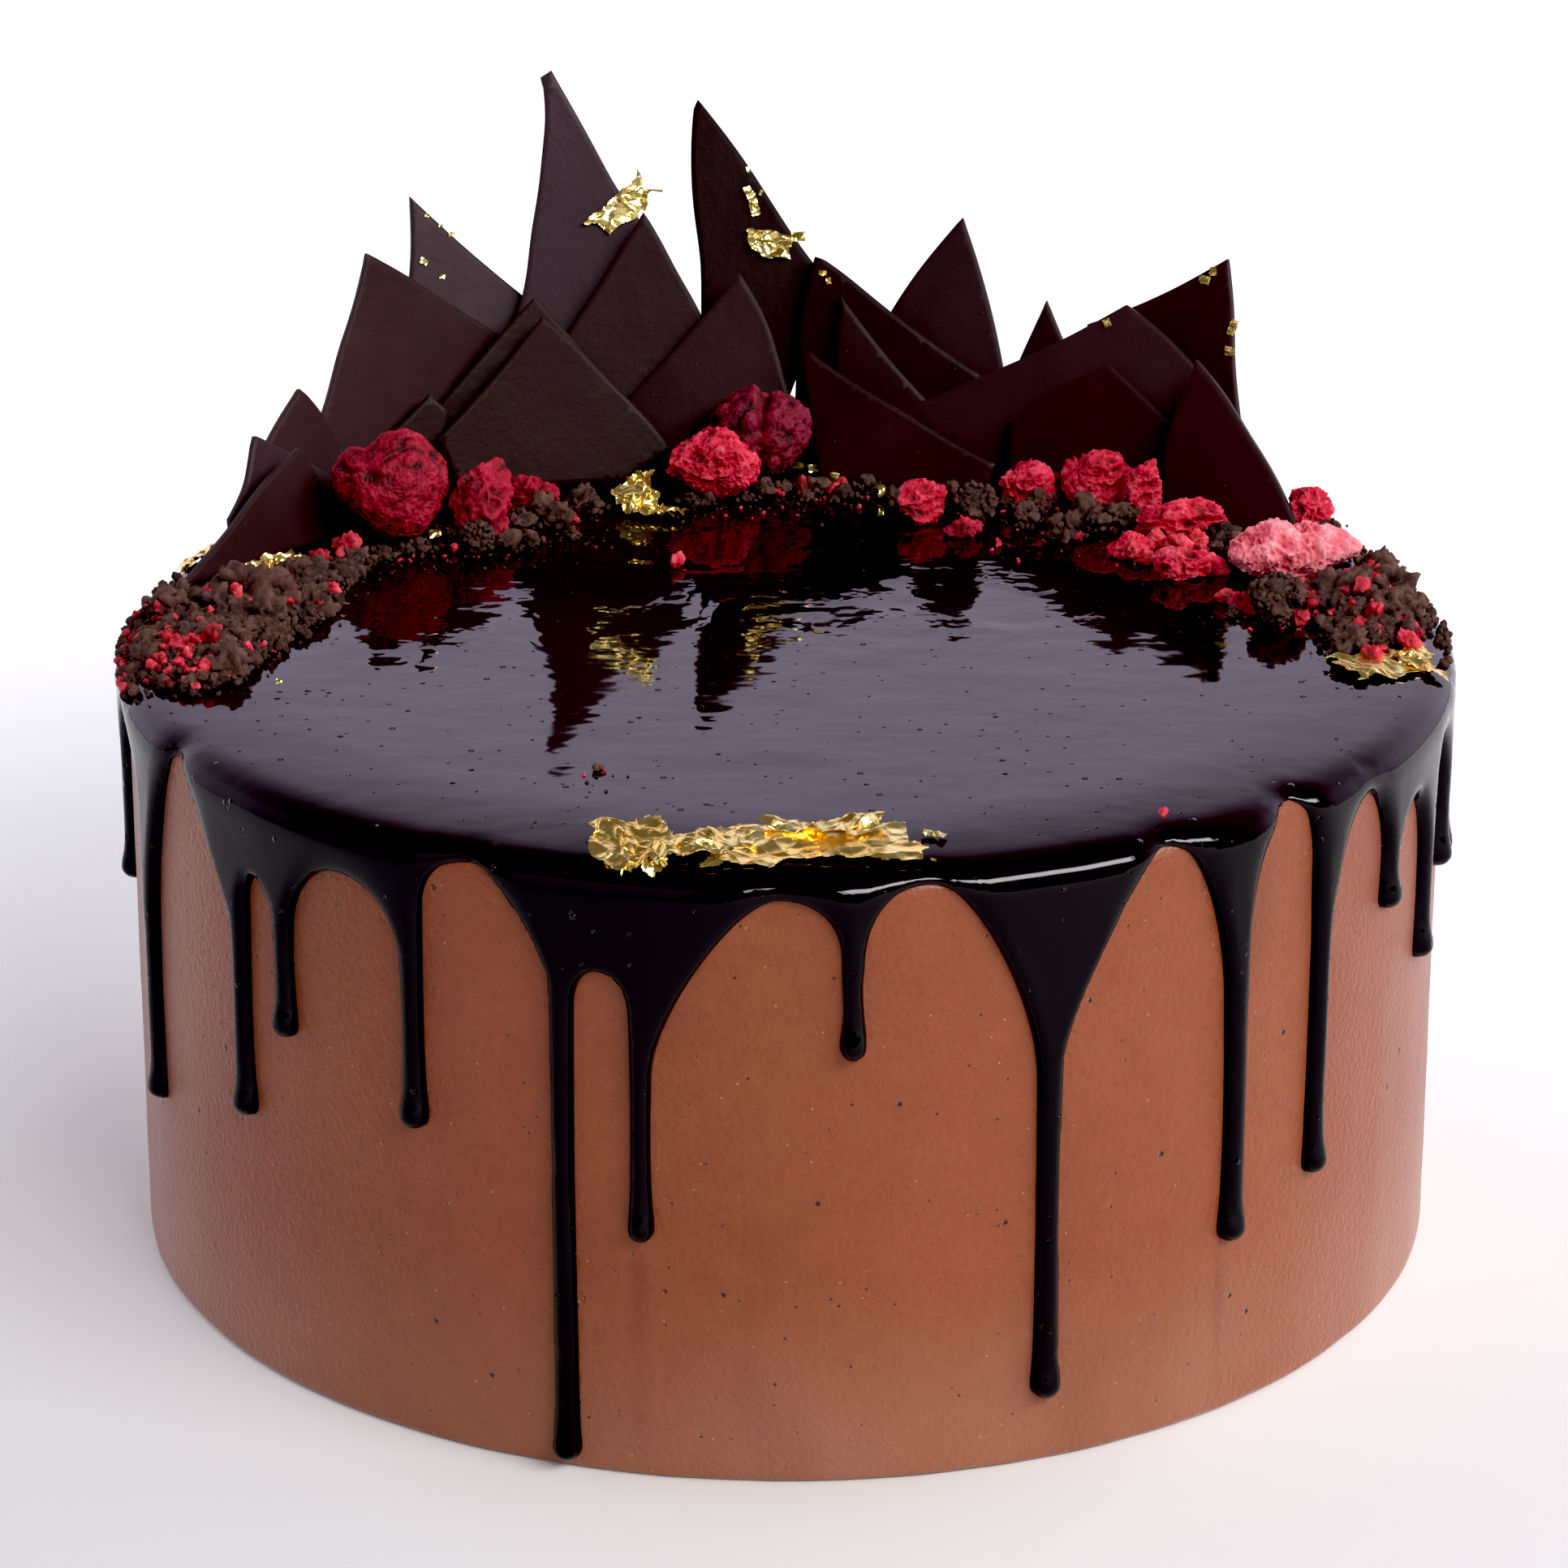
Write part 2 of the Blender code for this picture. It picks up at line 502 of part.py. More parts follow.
def heap(name, mat):
    """A low heap of crumb, highest inside and uneven at its border."""
    corners, height = HEAPS[name]
    rng = random.Random(name)
    outline = []
    for a, b in zip(corners, corners[1:] + corners[:1]):
        parts = max(1, int(math.dist(a, b) / 4.0))
        for i in range(parts):
            t = i / parts
            push = rng.uniform(-0.8, 0.5) if i else 0.0
            nx, ny = b[1] - a[1], a[0] - b[0]
            size = math.hypot(nx, ny)
            outline.append((a[0] + (b[0] - a[0]) * t - push * nx / size, a[1] + (b[1] - a[1]) * t - push * ny / size))
    if sum(a[0] * b[1] - a[1] * b[0] for a, b in zip(outline, outline[1:] + outline[:1])) < 0:
        outline.reverse()
    near = outline + outline[:1]
    xs, ys = [p[0] for p in outline], [p[1] for p in outline]
    spots = []
    pitch = 3.6
    for i in range(int((max(xs) - min(xs)) / pitch) + 1):
        for k in range(int((max(ys) - min(ys)) / pitch) + 1):
            spots.append((min(xs) + pitch * (i + 0.5 * (k % 2)), min(ys) + pitch * k))
    reach = border_distance(spots, near)
    spots = [p for p, d in zip(spots, reach) if d > 1.5 and inside(p, outline)]
    flat, tris = triangulate(outline, spots)
    reach = border_distance(flat, near)
    n = len(flat)
    verts = []
    for (x, y), d in zip(flat, reach):
        rise = height * (1 - math.exp(-d / 4.2)) if d > 1e-4 else 0.0
        verts.append((x, y, REST + 1.1 + rise * rng.uniform(0.62, 1.0)))
    rim = [i for i, d in enumerate(reach) if d <= 1e-4]
    base = {}
    for i in rim:
        base[i] = len(verts)
        verts.append((flat[i][0], flat[i][1], REST))
    faces = [tuple(f) for f in tris]
    edges = {(a, b) for f in tris for a, b in zip(f, f[1:] + f[:1])}
    loop = {}
    for a, b in edges:
        if (b, a) not in edges:
            faces.append((b, a, base[a], base[b]))
            loop[a] = b
    start = rim[0]
    floor, at = [], start
    while True:
        floor.append(base[at])
        at = loop[at]
        if at == start:
            break
    faces.append(tuple(reversed(floor)))
    return body_object(name, verts, faces, mat)


def leaf(name, mat, centre, across, along, out, half_u, half_v, height):
    """Torn, crumpled gold leaf: an uneven flake with ridges on a flat back."""
    rng = random.Random(name)
    ring = 18
    outline = []
    for i in range(ring):
        a = 2 * math.pi * i / ring
        k = rng.uniform(0.80, 1.0)
        outline.append((half_u * math.cos(a) * k, half_v * math.sin(a) * k))
    near = outline + outline[:1]
    spots = [(half_u * (i / 4.0 - 1), half_v * (j / 2.0 - 1) * 0.8) for i in range(9) for j in range(5)]
    reach = border_distance(spots, near)
    spots = [p for p, d in zip(spots, reach) if d > min(half_u, half_v) * 0.22 and inside(p, outline)]
    flat, tris = triangulate(outline, spots)
    reach = border_distance(flat, near)
    n = len(flat)
    verts = []
    for (u, v), d in zip(flat, reach):
        rise = 0.35 * height + (rng.uniform(0.2, 0.65) * height if d > 1e-4 else rng.uniform(-0.1, 0.1) * height)
        verts.append(tuple(centre + across * u + along * v + out * rise))
    for u, v in flat:
        verts.append(tuple(centre + across * u + along * v))
    faces = [tuple(f) for f in tris] + [tuple(i + n for i in reversed(f)) for f in tris]
    edges = {(a, b) for f in tris for a, b in zip(f, f[1:] + f[:1])}
    for a, b in edges:
        if (b, a) not in edges:
            faces.append((b, a, a + n, b + n))
    return body_object(name, verts, faces, mat)


def turned(across, up, degrees):
    c, s = math.cos(math.radians(degrees)), math.sin(math.radians(degrees))
    return across * c + up * s, up * c - across * s


def main():
    cream = material("caramel buttercream", (0.30, 0.13, 0.07), 0.55)
    ganache = material("dark mirror glaze", (0.012, 0.006, 0.006), 0.06)
    chocolate = material("dark chocolate", (0.035, 0.014, 0.012), 0.35)
    dried = material("dried red berry", (0.40, 0.02, 0.04), 0.8)
    crumb = material("chocolate crumb", (0.05, 0.02, 0.015), 0.95)
    gold = material("gold leaf", (0.90, 0.62, 0.22), 0.25, 1.0)

    cake_body(cream)
    ganache_glaze(ganache)
    for name in SHARDS:
        shard(name, chocolate)
    for name in BERRIES:
        berry(name, dried)
    for name, (x, y, rx, ry, rz, turn) in PIECES.items():
        lump(name, x, y, rx, ry, rz, turn, dried, 0.22)
    for name, (x, y, rx, ry, rz) in CLUSTERS.items():
        lump(name, x, y, rx, ry, rz, 0, crumb, 0.30)
    for name in HEAPS:
        heap(name, crumb)
    for name, (x, y, half_u, half_v, turn, height) in LEAVES_TOP.items():
        across, along = turned(Vector((1, 0, 0)), Vector((0, 1, 0)), turn)
        leaf(name, gold, Vector((x, y, REST)), across, along, Vector((0, 0, 1)), half_u, half_v, height)
    for name, (on, u, v, half_u, half_v, turn, height) in LEAVES_SHARD.items():
        foot, across, up, out = shard_frame(on)
        lift = max(shard_bow(on, u + a, v + b) for a in (-half_u, half_u) for b in (-half_u, 0, half_u))
        centre = foot + across * u + up * v + out * (lift + SHARD_THICK / 2 + 0.35)
        side, along = turned(across, up, turn)
        leaf(name, gold, centre, side, along, out, half_u, half_v, height)


main()
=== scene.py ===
import math
import random

import bmesh
import bpy
import numpy as np
from mathutils import Matrix, Vector, geometry


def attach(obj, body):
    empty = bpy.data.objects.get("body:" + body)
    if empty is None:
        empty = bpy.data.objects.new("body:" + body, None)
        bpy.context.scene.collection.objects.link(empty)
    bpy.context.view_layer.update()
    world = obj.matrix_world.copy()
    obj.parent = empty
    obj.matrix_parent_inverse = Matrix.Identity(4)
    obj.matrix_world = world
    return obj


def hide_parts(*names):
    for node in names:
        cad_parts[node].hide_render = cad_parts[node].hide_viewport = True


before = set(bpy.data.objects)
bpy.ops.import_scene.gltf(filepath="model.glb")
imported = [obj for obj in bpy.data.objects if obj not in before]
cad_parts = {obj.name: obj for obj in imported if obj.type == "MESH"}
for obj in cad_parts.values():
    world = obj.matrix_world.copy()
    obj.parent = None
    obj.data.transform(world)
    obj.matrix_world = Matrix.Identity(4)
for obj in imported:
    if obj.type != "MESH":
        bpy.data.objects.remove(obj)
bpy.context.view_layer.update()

MM = 0.001

# sizes in mm, as in the construction ------------------------------------------------------------
BODY_RADIUS = 100.0
BODY_HEIGHT = 92.0
TOP_EDGE = 3.0
GAP = 0.35
GLAZE = 1.75
BEAD = 1.75
EDGE_RUN = 5.2
TOP_RING = 90.0
GLAZE_TOP = BODY_HEIGHT + GAP + GLAZE
REST = GLAZE_TOP + 0.3
WALL = BODY_HEIGHT - TOP_EDGE

DRIPS = [
    (-88.0, 54.0, 3.5, 76, 0.50, 76, 0.50),
    (-69.1, 31.2, 3.7, 78, 0.45, 60, 0.35),
    (-51.0, 40.7, 3.7, 70, 0.24, 75, 0.50),
    (-45.2, 56.3, 3.6, 74, 0.50, 73, 0.55),
    (-31.3, 48.8, 3.7, 74, 0.55, 83, 0.55),
    (-18.0, 1.4, 3.7, 75, 0.26, 72, 0.55),
    (-11.6, 37.0, 3.3, 71, 0.60, 62, 0.32),
    (5.3, 65.3, 3.3, 80, 0.60, 79, 0.60),
    (21.5, 10.3, 3.8, 60, 0.36, 62, 0.24),
    (39.4, 27.4, 3.8, 63, 0.50, 75, 0.45),
    (49.6, 32.4, 3.5, 80, 0.55, 68, 0.50),
    (60.9, 67.3, 3.6, 76, 0.50, 76, 0.50),
    (70.2, 53.4, 3.6, 70, 0.50, 76, 0.50),
    (78.6, 62.5, 3.5, 76, 0.50, 78, 0.50),
    (86.5, 59.0, 3.4, 76, 0.50, 76, 0.50),
]
ARCHES = [
    (-79.0, 88.0), (-61.4, 91.3), (-48.4, 79.3), (-38.2, 84.6), (-25.5, 91.0), (-14.9, 77.3), (-0.6, 89.0),
    (11.4, 90.9), (31.8, 91.5), (45.7, 92.6), (56.1, 88.0), (65.8, 82.0), (74.6, 86.0), (82.6, 87.0),
]
BACK_DRIPS = 14
BACK_SEED = 7

SHARD_THICK = 1.3
SHARDS = {
    "shard_front_left": (-83.6, 32.2, 48.6, 16, 0.0, [(-17, 0.4), (-4, 5.5), (13.5, 14.5), (16.5, 7.5), (17.8, 0.4)]),
    "shard_left_low": (-81.5, 43.5, 48, 17, 0.0, [(-10, 0.4), (-9, 4.5), (-3.5, 9), (0, 16), (16.5, 4), (17, 0.4)]),
    "shard_left_small": (-74, 58.5, 42, 17, 0.0, [(-14, 0.4), (-13.5, 8.5), (-1.5, 19.5), (2, 15.5), (6.5, 0.4)]),
    "shard_left_big": (-62, 73, 29, 15, 0.0, [(-13, 0.4), (-18, 6.5), (-10, 22), (-2.5, 37.5), (12, 26.5), (23, 18), (15, 0.4)]),
    "shard_left_back": (-48, 85.6, 16, 19.5, 0.0, [(-10, 0.4), (-14.5, 22), (-11, 44), (10, 23), (10, 0.4)]),
    "shard_tall_left": (-30, 84.2, 5, 21, 1.2, [(-12, 0.4), (-16.5, 18.5), (-11.5, 37.5), (-9, 52.5), (-9, 63.5), (-7.2, 64.6), (3.5, 44), (13, 26), (11, 0.4)]),
    "shard_sliver": (-38, 77, 11, 17, 0.0, [(-16, 0.4), (-20.6, 10.2), (-2, 29), (9.5, 14.5), (6, 0.4)]),
    "shard_front_big": (-37, 72, 11, 17, 0.0, [(-17, 0.4), (-20, 8), (-1.5, 27), (9.5, 15), (18.5, 4), (10, 0.4)]),
    "shard_left_tiny": (-58, 70.3, 16, 16, 0.0, [(-9, 0.4), (-10.5, 5.5), (0.5, 14.5), (3.5, 11.5), (2, 0.4)]),
    "shard_mid_left": (-21, 81.5, 3, 18, 0.0, [(-14, 0.4), (-18.5, 16.5), (-2, 41.5), (3.3, 31.6), (9.6, 19), (11, 0.4)]),
    "shard_mid": (-8, 78.8, -2, 17, 0.0, [(-14, 0.4), (-22, 7.5), (0, 32), (7, 16.5), (10, 0.4)]),
    "shard_tall_right": (0, 85.3, -2, 21, -1.4, [(-13, 0.4), (-14.5, 32.5), (-16.5, 54.5), (-15.5, 59.5), (-3, 42.5), (9.5, 26), (0, 9), (-1, 0.4)]),
    "shard_right_ridge": (15, 83, -5, 17, 0.0, [(-14, 0.4), (-13.5, 22), (-11, 33.5), (-7.5, 32), (17, 14.5), (16, 0.4)]),
    "shard_right_inner": (16, 80.8, -5, 17, 0.0, [(-8, 0.4), (-7.5, 27.5), (10.5, 7.5), (11, 0.4)]),
    "shard_back_mid": (29, 89.5, -9, 16, 0.0, [(-13, 0.4), (-15.5, 16.5), (-1, 38.5), (8, 9), (9, 0.4)]),
    "shard_front_mid": (20, 71.5, -10, 17, 0.0, [(-14, 0.4), (-16, 3.5), (-18.5, 18.5), (-17.5, 20.5), (-0.5, 11), (14.5, 3.5), (13, 0.4)]),
    "shard_back_small": (43, 84.5, -16, 16, 0.0, [(-5, 0.4), (-6.5, 13), (-1.5, 26), (4.5, 14.5), (5, 0.4)]),
    "shard_long_blade": (41, 70.2, -19.5, 17, 0.0, [(-18, 0.4), (-26.5, 9.5), (-12, 16), (12.5, 30.5), (25.5, 21), (24, 10), (18, 0.4)]),
    "shard_right_back": (74, 60.5, -30, 18, -1.0, [(-22, 0.4), (-32, 24.5), (-9, 38.5), (-5, 22), (2, 0.4)]),
    "shard_right_mid": (49, 63.8, -22, 17, 0.0, [(-13.5, 0.4), (-14, 10), (-4, 18.5), (1.5, 21.5), (15, 11.5), (16, 0.4)]),
    "shard_right_front": (72, 49.5, -27, 16, 0.0, [(-13, 0.4), (-13.5, 13), (-10, 25), (0, 15), (12, 0.4)]),
}

# painted shade and painted sheen on each shard: how much darker it is painted than the lightest, for the light it gets
# where it stands, and how much bluish sheen is painted on it
SHADES = {
    "shard_tall_left": (0.02, 0.75), "shard_left_back": (0.02, 0.70), "shard_left_big": (0.08, 0.15), "shard_left_small": (0.20, 0.1),
    "shard_left_low": (0.0, 0.5), "shard_front_left": (0.22, 0.0), "shard_left_tiny": (0.55, 0.0), "shard_sliver": (0.50, 0.0),
    "shard_front_big": (0.50, 0.0), "shard_mid_left": (0.30, 0.20), "shard_mid": (0.30, 0.30), "shard_tall_right": (0.85, 0.0),
    "shard_front_mid": (0.42, 0.0), "shard_right_ridge": (0.70, 0.0), "shard_right_inner": (0.40, 0.1), "shard_back_mid": (0.35, 0.4),
    "shard_back_small": (0.35, 0.2), "shard_long_blade": (0.0, 0.25), "shard_right_mid": (0.20, 0.0), "shard_right_back": (0.20, 0.0),
    "shard_right_front": (0.0, 0.1),
}

# outward bulge of each edge in mm, in the order of the corners
BULGES = {
    "shard_tall_left": [0, -0.9, -0.4, -0.6, 0, 0, 0.9, 0.7, 0.5, 0],
    "shard_tall_right": [0.3, 0.5, 0.8, 0.4, -0.5, -0.6, 0, 0, 0],
    "shard_left_back": [0, -0.7, -0.5, -0.8, 0, 0],
    "shard_left_big": [0, -0.5, -0.6, 0.4, 0.3, 0, 0],
    "shard_mid": [0, -0.3, 0.9, 0.9, 0, 0],
    "shard_mid_left": [0, -0.4, 0.35, 0.35, 0.3, 0],
    "shard_back_mid": [0.2, 0.7, 0.6, 0.5, 0],
    "shard_front_big": [0, -0.5, 0.4, 0.3, 0, 0],
    "shard_front_mid": [0, 0, 0.2, -0.5, -0.4, 0, 0],
    "shard_long_blade": [0, -0.5, -0.5, 0.5, 0, 0, 0],
    "shard_right_mid": [0, 0.3, 0.5, 0.3, 0, 0],
    "shard_right_front": [0, -0.4, 0.4, 0.8, 0.4, 0],
    "shard_right_back": [0.5, -0.5, 0.5, 0.2, 0],
    "shard_right_ridge": [0, 0.2, 0.3, -0.6, 0, 0],
    "shard_right_inner": [0.2, -0.6, 0, 0],
    "shard_front_left": [0.2, 0.6, 0.3, 0.2, 0],
    "shard_left_small": [0, 0.4, 0.3, 0, 0],
    "shard_left_low": [0, 0, 0.3, 0.4, 0, 0],
}

BERRIES = {
    "berry_heart": (-63.0, 41.9, 8.7, 7.6, 8.6, 8, 14, 70, 0.16),
    "berry_folded": (-4.3, 73.0, 8.0, 6.6, 7.6, -6, -8, 60, 0.22),
    "berry_bright": (-11.0, 63.6, 6.7, 5.4, 4.9, 4, 18, 50, 0.10),
    "berry_long_pink": (79.6, 26.0, 11.2, 4.5, 4.0, 22, 6, 60, 0.08),
}
PIECES = {
    "berry_piece_1": (-48.0, 43.6, 3.9, 3.4, 6.2, 20),
    "berry_piece_2": (-40.8, 56.0, 3.3, 2.6, 3.0, -15),
    "berry_piece_3": (22.2, 51.5, 3.6, 2.9, 3.3, 12),
    "berry_piece_4": (28.6, 43.6, 2.5, 2.0, 1.6, 0),
    "berry_piece_5": (38.6, 59.2, 4.2, 3.0, 3.3, -10),
    "berry_piece_6": (49.4, 58.0, 5.0, 3.2, 4.6, 8),
    "berry_piece_7": (57.8, 53.0, 3.0, 2.5, 4.9, 30),
    "berry_piece_8": (62.4, 42.0, 6.6, 3.5, 3.4, -8),
    "berry_piece_9": (63.4, 23.6, 4.9, 3.0, 2.5, 5),
    "berry_piece_10": (84.2, 48.4, 2.6, 2.3, 4.2, 0),
    "berry_piece_11": (54.6, 33.4, 3.0, 2.4, 2.0, 40),
}
CLUSTERS = {
    "crumb_cluster_mid": (30.4, 51.2, 3.6, 3.0, 3.2),
    "crumb_cluster_right": (75.2, 2.2, 3.9, 3.6, 3.8),
    "crumb_cluster_far": (-49.0, 36.4, 2.8, 2.4, 2.3),
}
HEAPS = {
    "crumb_heap_left": ([(-73.0, 28.6), (-84.2, 17.6), (-94.6, 9.6), (-98.2, 0.0), (-97.4, -14.0), (-93.4, -26.5), (-87.0, -30.0), (-80.6, -25.6), (-77.4, -15.0), (-74.0, -6.0), (-70.6, 2.6), (-69.6, 12.0), (-67.8, 20.0), (-67.0, 26.0)], 5.0),
    "crumb_heap_right": ([(79.8, 1.4), (82.5, -3.5), (86.0, -7.5), (90.5, -9.5), (95.0, -6.5), (97.6, 2.0), (97.2, 14.0), (94.0, 24.5), (88.0, 20.4), (82.0, 17.0), (78.5, 12.5), (77.8, 7.4)], 6.0),
}


# small tools -------------------------------------------------------------------------------------
def hashed(ix, iy, iz, seed):
    h = (ix * 374761393 + iy * 668265263 + iz * 1440662683 + seed * 1274126177) & 0xFFFFFFFF
    h = ((h ^ (h >> 13)) * 1274126177) & 0xFFFFFFFF
    h = ((h ^ (h >> 15)) * 2246822519) & 0xFFFFFFFF
    return ((h ^ (h >> 16)) & 0xFFFFFF) / float(0xFFFFFF) * 2.0 - 1.0


def vnoise(p, size, seed=0):
    """Smooth noise from -1 to 1 with features of this size in mm."""
    q = np.asarray(p, float) / size + 1000.0
    i = np.floor(q).astype(np.int64)
    f = q - i
    u = f * f * f * (f * (f * 6 - 15) + 10)
    out = 0.0
    for dx in (0, 1):
        wx = u[:, 0] if dx else 1 - u[:, 0]
        for dy in (0, 1):
            wy = u[:, 1] if dy else 1 - u[:, 1]
            for dz in (0, 1):
                wz = u[:, 2] if dz else 1 - u[:, 2]
                out = out + wx * wy * wz * hashed(i[:, 0] + dx, i[:, 1] + dy, i[:, 2] + dz, seed)
    return out


def fbm(p, size, octaves=3, seed=0, gain=0.5):
    total, amp, norm = 0.0, 1.0, 0.0
    for k in range(octaves):
        total = total + amp * vnoise(p, size / 2**k, seed + 17 * k)
        norm += amp
        amp *= gain
    return total / norm


def smoothstep(a, b, x):
    t = np.clip((np.asarray(x, float) - a) / (b - a), 0, 1)
    return t * t * (3 - 2 * t)


def border_distance(points, border, reach=None):
    p = np.asarray(points, float)
    a = np.asarray(border[:-1], float)
    b = np.asarray(border[1:], float)
    ab = b - a
    length = np.maximum((ab**2).sum(1), 1e-12)
    out = np.full(len(p), 1e9)
    order = np.argsort(p[:, 0], kind="stable")
    limit = 12.0 if reach is None else reach
    mid = (a[:, 0] + b[:, 0]) / 2
    sort = np.argsort(mid, kind="stable")
    mids = mid[sort]
    for start in range(0, len(order), 400):
        rows = order[start : start + 400]
        lo, hi = p[rows, 0].min() - limit, p[rows, 0].max() + limit
        cols = sort[np.searchsorted(mids, lo) : np.searchsorted(mids, hi)]
        if not len(cols):
            continue
        rel = p[rows][:, None, :] - a[cols][None]
        t = np.clip((rel * ab[cols][None]).sum(2) / length[cols][None], 0, 1)
        gap = rel - t[..., None] * ab[cols][None]
        out[rows] = np.minimum(out[rows], np.sqrt((gap**2).sum(2)).min(1))
    return np.minimum(out, limit)


def inside_many(points, polygon):
    p = np.asarray(points, float)
    poly = np.asarray(polygon, float)
    hit = np.zeros(len(p), bool)
    for (ax, ay), (bx, by) in zip(poly, np.roll(poly, -1, axis=0)):
        if ay == by:
            continue
        cross = ((ay > p[:, 1]) != (by > p[:, 1])) & (p[:, 0] < (bx - ax) * (p[:, 1] - ay) / (by - ay) + ax)
        hit ^= cross
    return hit


def triangulate(outline, inner):
    points = [tuple(map(float, p)) for p in outline] + [tuple(map(float, p)) for p in inner]
    done = geometry.delaunay_2d_cdt([Vector(p) for p in points], [], [list(range(len(outline)))], 1, 1e-7)
    order = [points[o[0]] if o else tuple(at) for at, o in zip(done[0], done[3])]
    return np.array(order, float), np.array([tuple(f) for f in done[2]], int)


def rim_edges(tris):
    """Directed edges that only one triangle uses."""
    e = np.concatenate([tris[:, [0, 1]], tris[:, [1, 2]], tris[:, [2, 0]]])
    have = set(map(tuple, e.tolist()))
    return [(a, b) for a, b in have if (b, a) not in have]


def build(name, verts, faces, mat, smooth=True, attributes=None):
    """A mesh object from points in mm."""
    mesh = bpy.data.meshes.new(name)
    v = (np.asarray(verts, float) * MM).tolist()
    f = faces.tolist() if isinstance(faces, np.ndarray) else faces
    mesh.from_pydata(v, [], f)
    for key, values in (attributes or {}).items():
        layer = mesh.attributes.new(key, "FLOAT", "POINT")
        layer.data.foreach_set("value", np.asarray(values, np.float32))
    if smooth:
        mesh.shade_smooth()
    mesh.materials.append(mat)
    mesh.update()
    ob = bpy.data.objects.new(name, mesh)
    bpy.context.scene.collection.objects.link(ob)
    return ob


def place(ob, slot, *nodes):
    if nodes:
        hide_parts(*nodes)
    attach(ob, "root")
    return ob


def sphere_mesh(level):
    bm = bmesh.new()
    bmesh.ops.create_icosphere(bm, subdivisions=level, radius=1.0)
    v = np.array([x.co[:] for x in bm.verts])
    f = np.array([[q.index for q in x.verts] for x in bm.faces])
    bm.free()
    return v / np.linalg.norm(v, axis=1)[:, None], f


SPHERES = {}


def sphere(level):
    if level not in SPHERES:
        SPHERES[level] = sphere_mesh(level)
    return SPHERES[level]


def rotation(rng):
    q = rng.normal(size=4)
    w, x, y, z = q / np.linalg.norm(q)
    return np.array([[1 - 2 * (y * y + z * z), 2 * (x * y - z * w), 2 * (x * z + y * w)],
                     [2 * (x * y + z * w), 1 - 2 * (x * x + z * z), 2 * (y * z - x * w)],
                     [2 * (x * z - y * w), 2 * (y * z + x * w), 1 - 2 * (x * x + y * y)]])


# materials ---------------------------------------------------------------------------------------
def new_material(name):
    m = bpy.data.materials.new(name)
    m.use_nodes = True
    nt = m.node_tree
    bsdf = nt.nodes["Principled BSDF"]
    return m, nt, bsdf


def node(nt, kind, **inputs):
    n = nt.nodes.new(kind)
    for key, value in inputs.items():
        n.inputs[key.replace("_", " ")].default_value = value
    return n


def coords(nt, stretch=None):
    tc = nt.nodes.new("ShaderNodeTexCoord")
    if stretch is None:
        return tc.outputs["Object"]
    mp = nt.nodes.new("ShaderNodeMapping")
    mp.inputs["Scale"].default_value = stretch
    nt.links.new(tc.outputs["Object"], mp.inputs["Vector"])
    return mp.outputs["Vector"]


def noise_tex(nt, vector, scale, detail=3.0, rough=0.55):
    n = nt.nodes.new("ShaderNodeTexNoise")
    n.inputs["Scale"].default_value = scale
    n.inputs["Detail"].default_value = detail
    n.inputs["Roughness"].default_value = rough
    nt.links.new(vector, n.inputs["Vector"])
    return n.outputs["Fac"]


def noise_vec(nt, vector, scale):
    n = nt.nodes.new("ShaderNodeTexNoise")
    n.inputs["Scale"].default_value = scale
    n.inputs["Detail"].default_value = 2.0
    nt.links.new(vector, n.inputs["Vector"])
    return n.outputs["Color"]


def voronoi_tex(nt, vector, scale, feature="F1", random_=1.0, out="Distance"):
    n = nt.nodes.new("ShaderNodeTexVoronoi")
    n.feature = feature
    n.inputs["Scale"].default_value = scale
    n.inputs["Randomness"].default_value = random_
    nt.links.new(vector, n.inputs["Vector"])
    return n.outputs[out]


def ramp(nt, fac, stops):
    n = nt.nodes.new("ShaderNodeValToRGB")
    cr = n.color_ramp
    while len(cr.elements) < len(stops):
        cr.elements.new(0.5)
    for e, (pos, col) in zip(cr.elements, stops):
        e.position = pos
        e.color = (*col, 1.0) if len(col) == 3 else col
    nt.links.new(fac, n.inputs["Fac"])
    return n.outputs["Color"]


def math_node(nt, op, a, b=None, c=None, clamp=False):
    n = nt.nodes.new("ShaderNodeMath")
    n.operation = op
    n.use_clamp = clamp
    for i, x in enumerate((a, b, c)):
        if x is None:
            continue
        if isinstance(x, (int, float)):
            n.inputs[i].default_value = x
        else:
            nt.links.new(x, n.inputs[i])
    return n.outputs[0]


def remap(nt, fac, a, b, c, d):
    n = nt.nodes.new("ShaderNodeMapRange")
    n.inputs["From Min"].default_value = a
    n.inputs["From Max"].default_value = b
    n.inputs["To Min"].default_value = c
    n.inputs["To Max"].default_value = d
    nt.links.new(fac, n.inputs["Value"])
    return n.outputs["Result"]


def mix(nt, fac, a, b, blend="MIX"):
    n = nt.nodes.new("ShaderNodeMix")
    n.data_type = "RGBA"
    n.blend_type = blend
    for key, x in ((0, fac), (6, a), (7, b)):
        if isinstance(x, (int, float)):
            n.inputs[key].default_value = x
        elif isinstance(x, tuple):
            n.inputs[key].default_value = (*x, 1.0)
        else:
            nt.links.new(x, n.inputs[key])
    return n.outputs[2]


def bump(nt, height, strength, distance, normal=None):
    n = nt.nodes.new("ShaderNodeBump")
    n.inputs["Strength"].default_value = strength
    n.inputs["Distance"].default_value = distance
    nt.links.new(height, n.inputs["Height"])
    if normal is not None:
        nt.links.new(normal, n.inputs["Normal"])
    return n.outputs["Normal"]


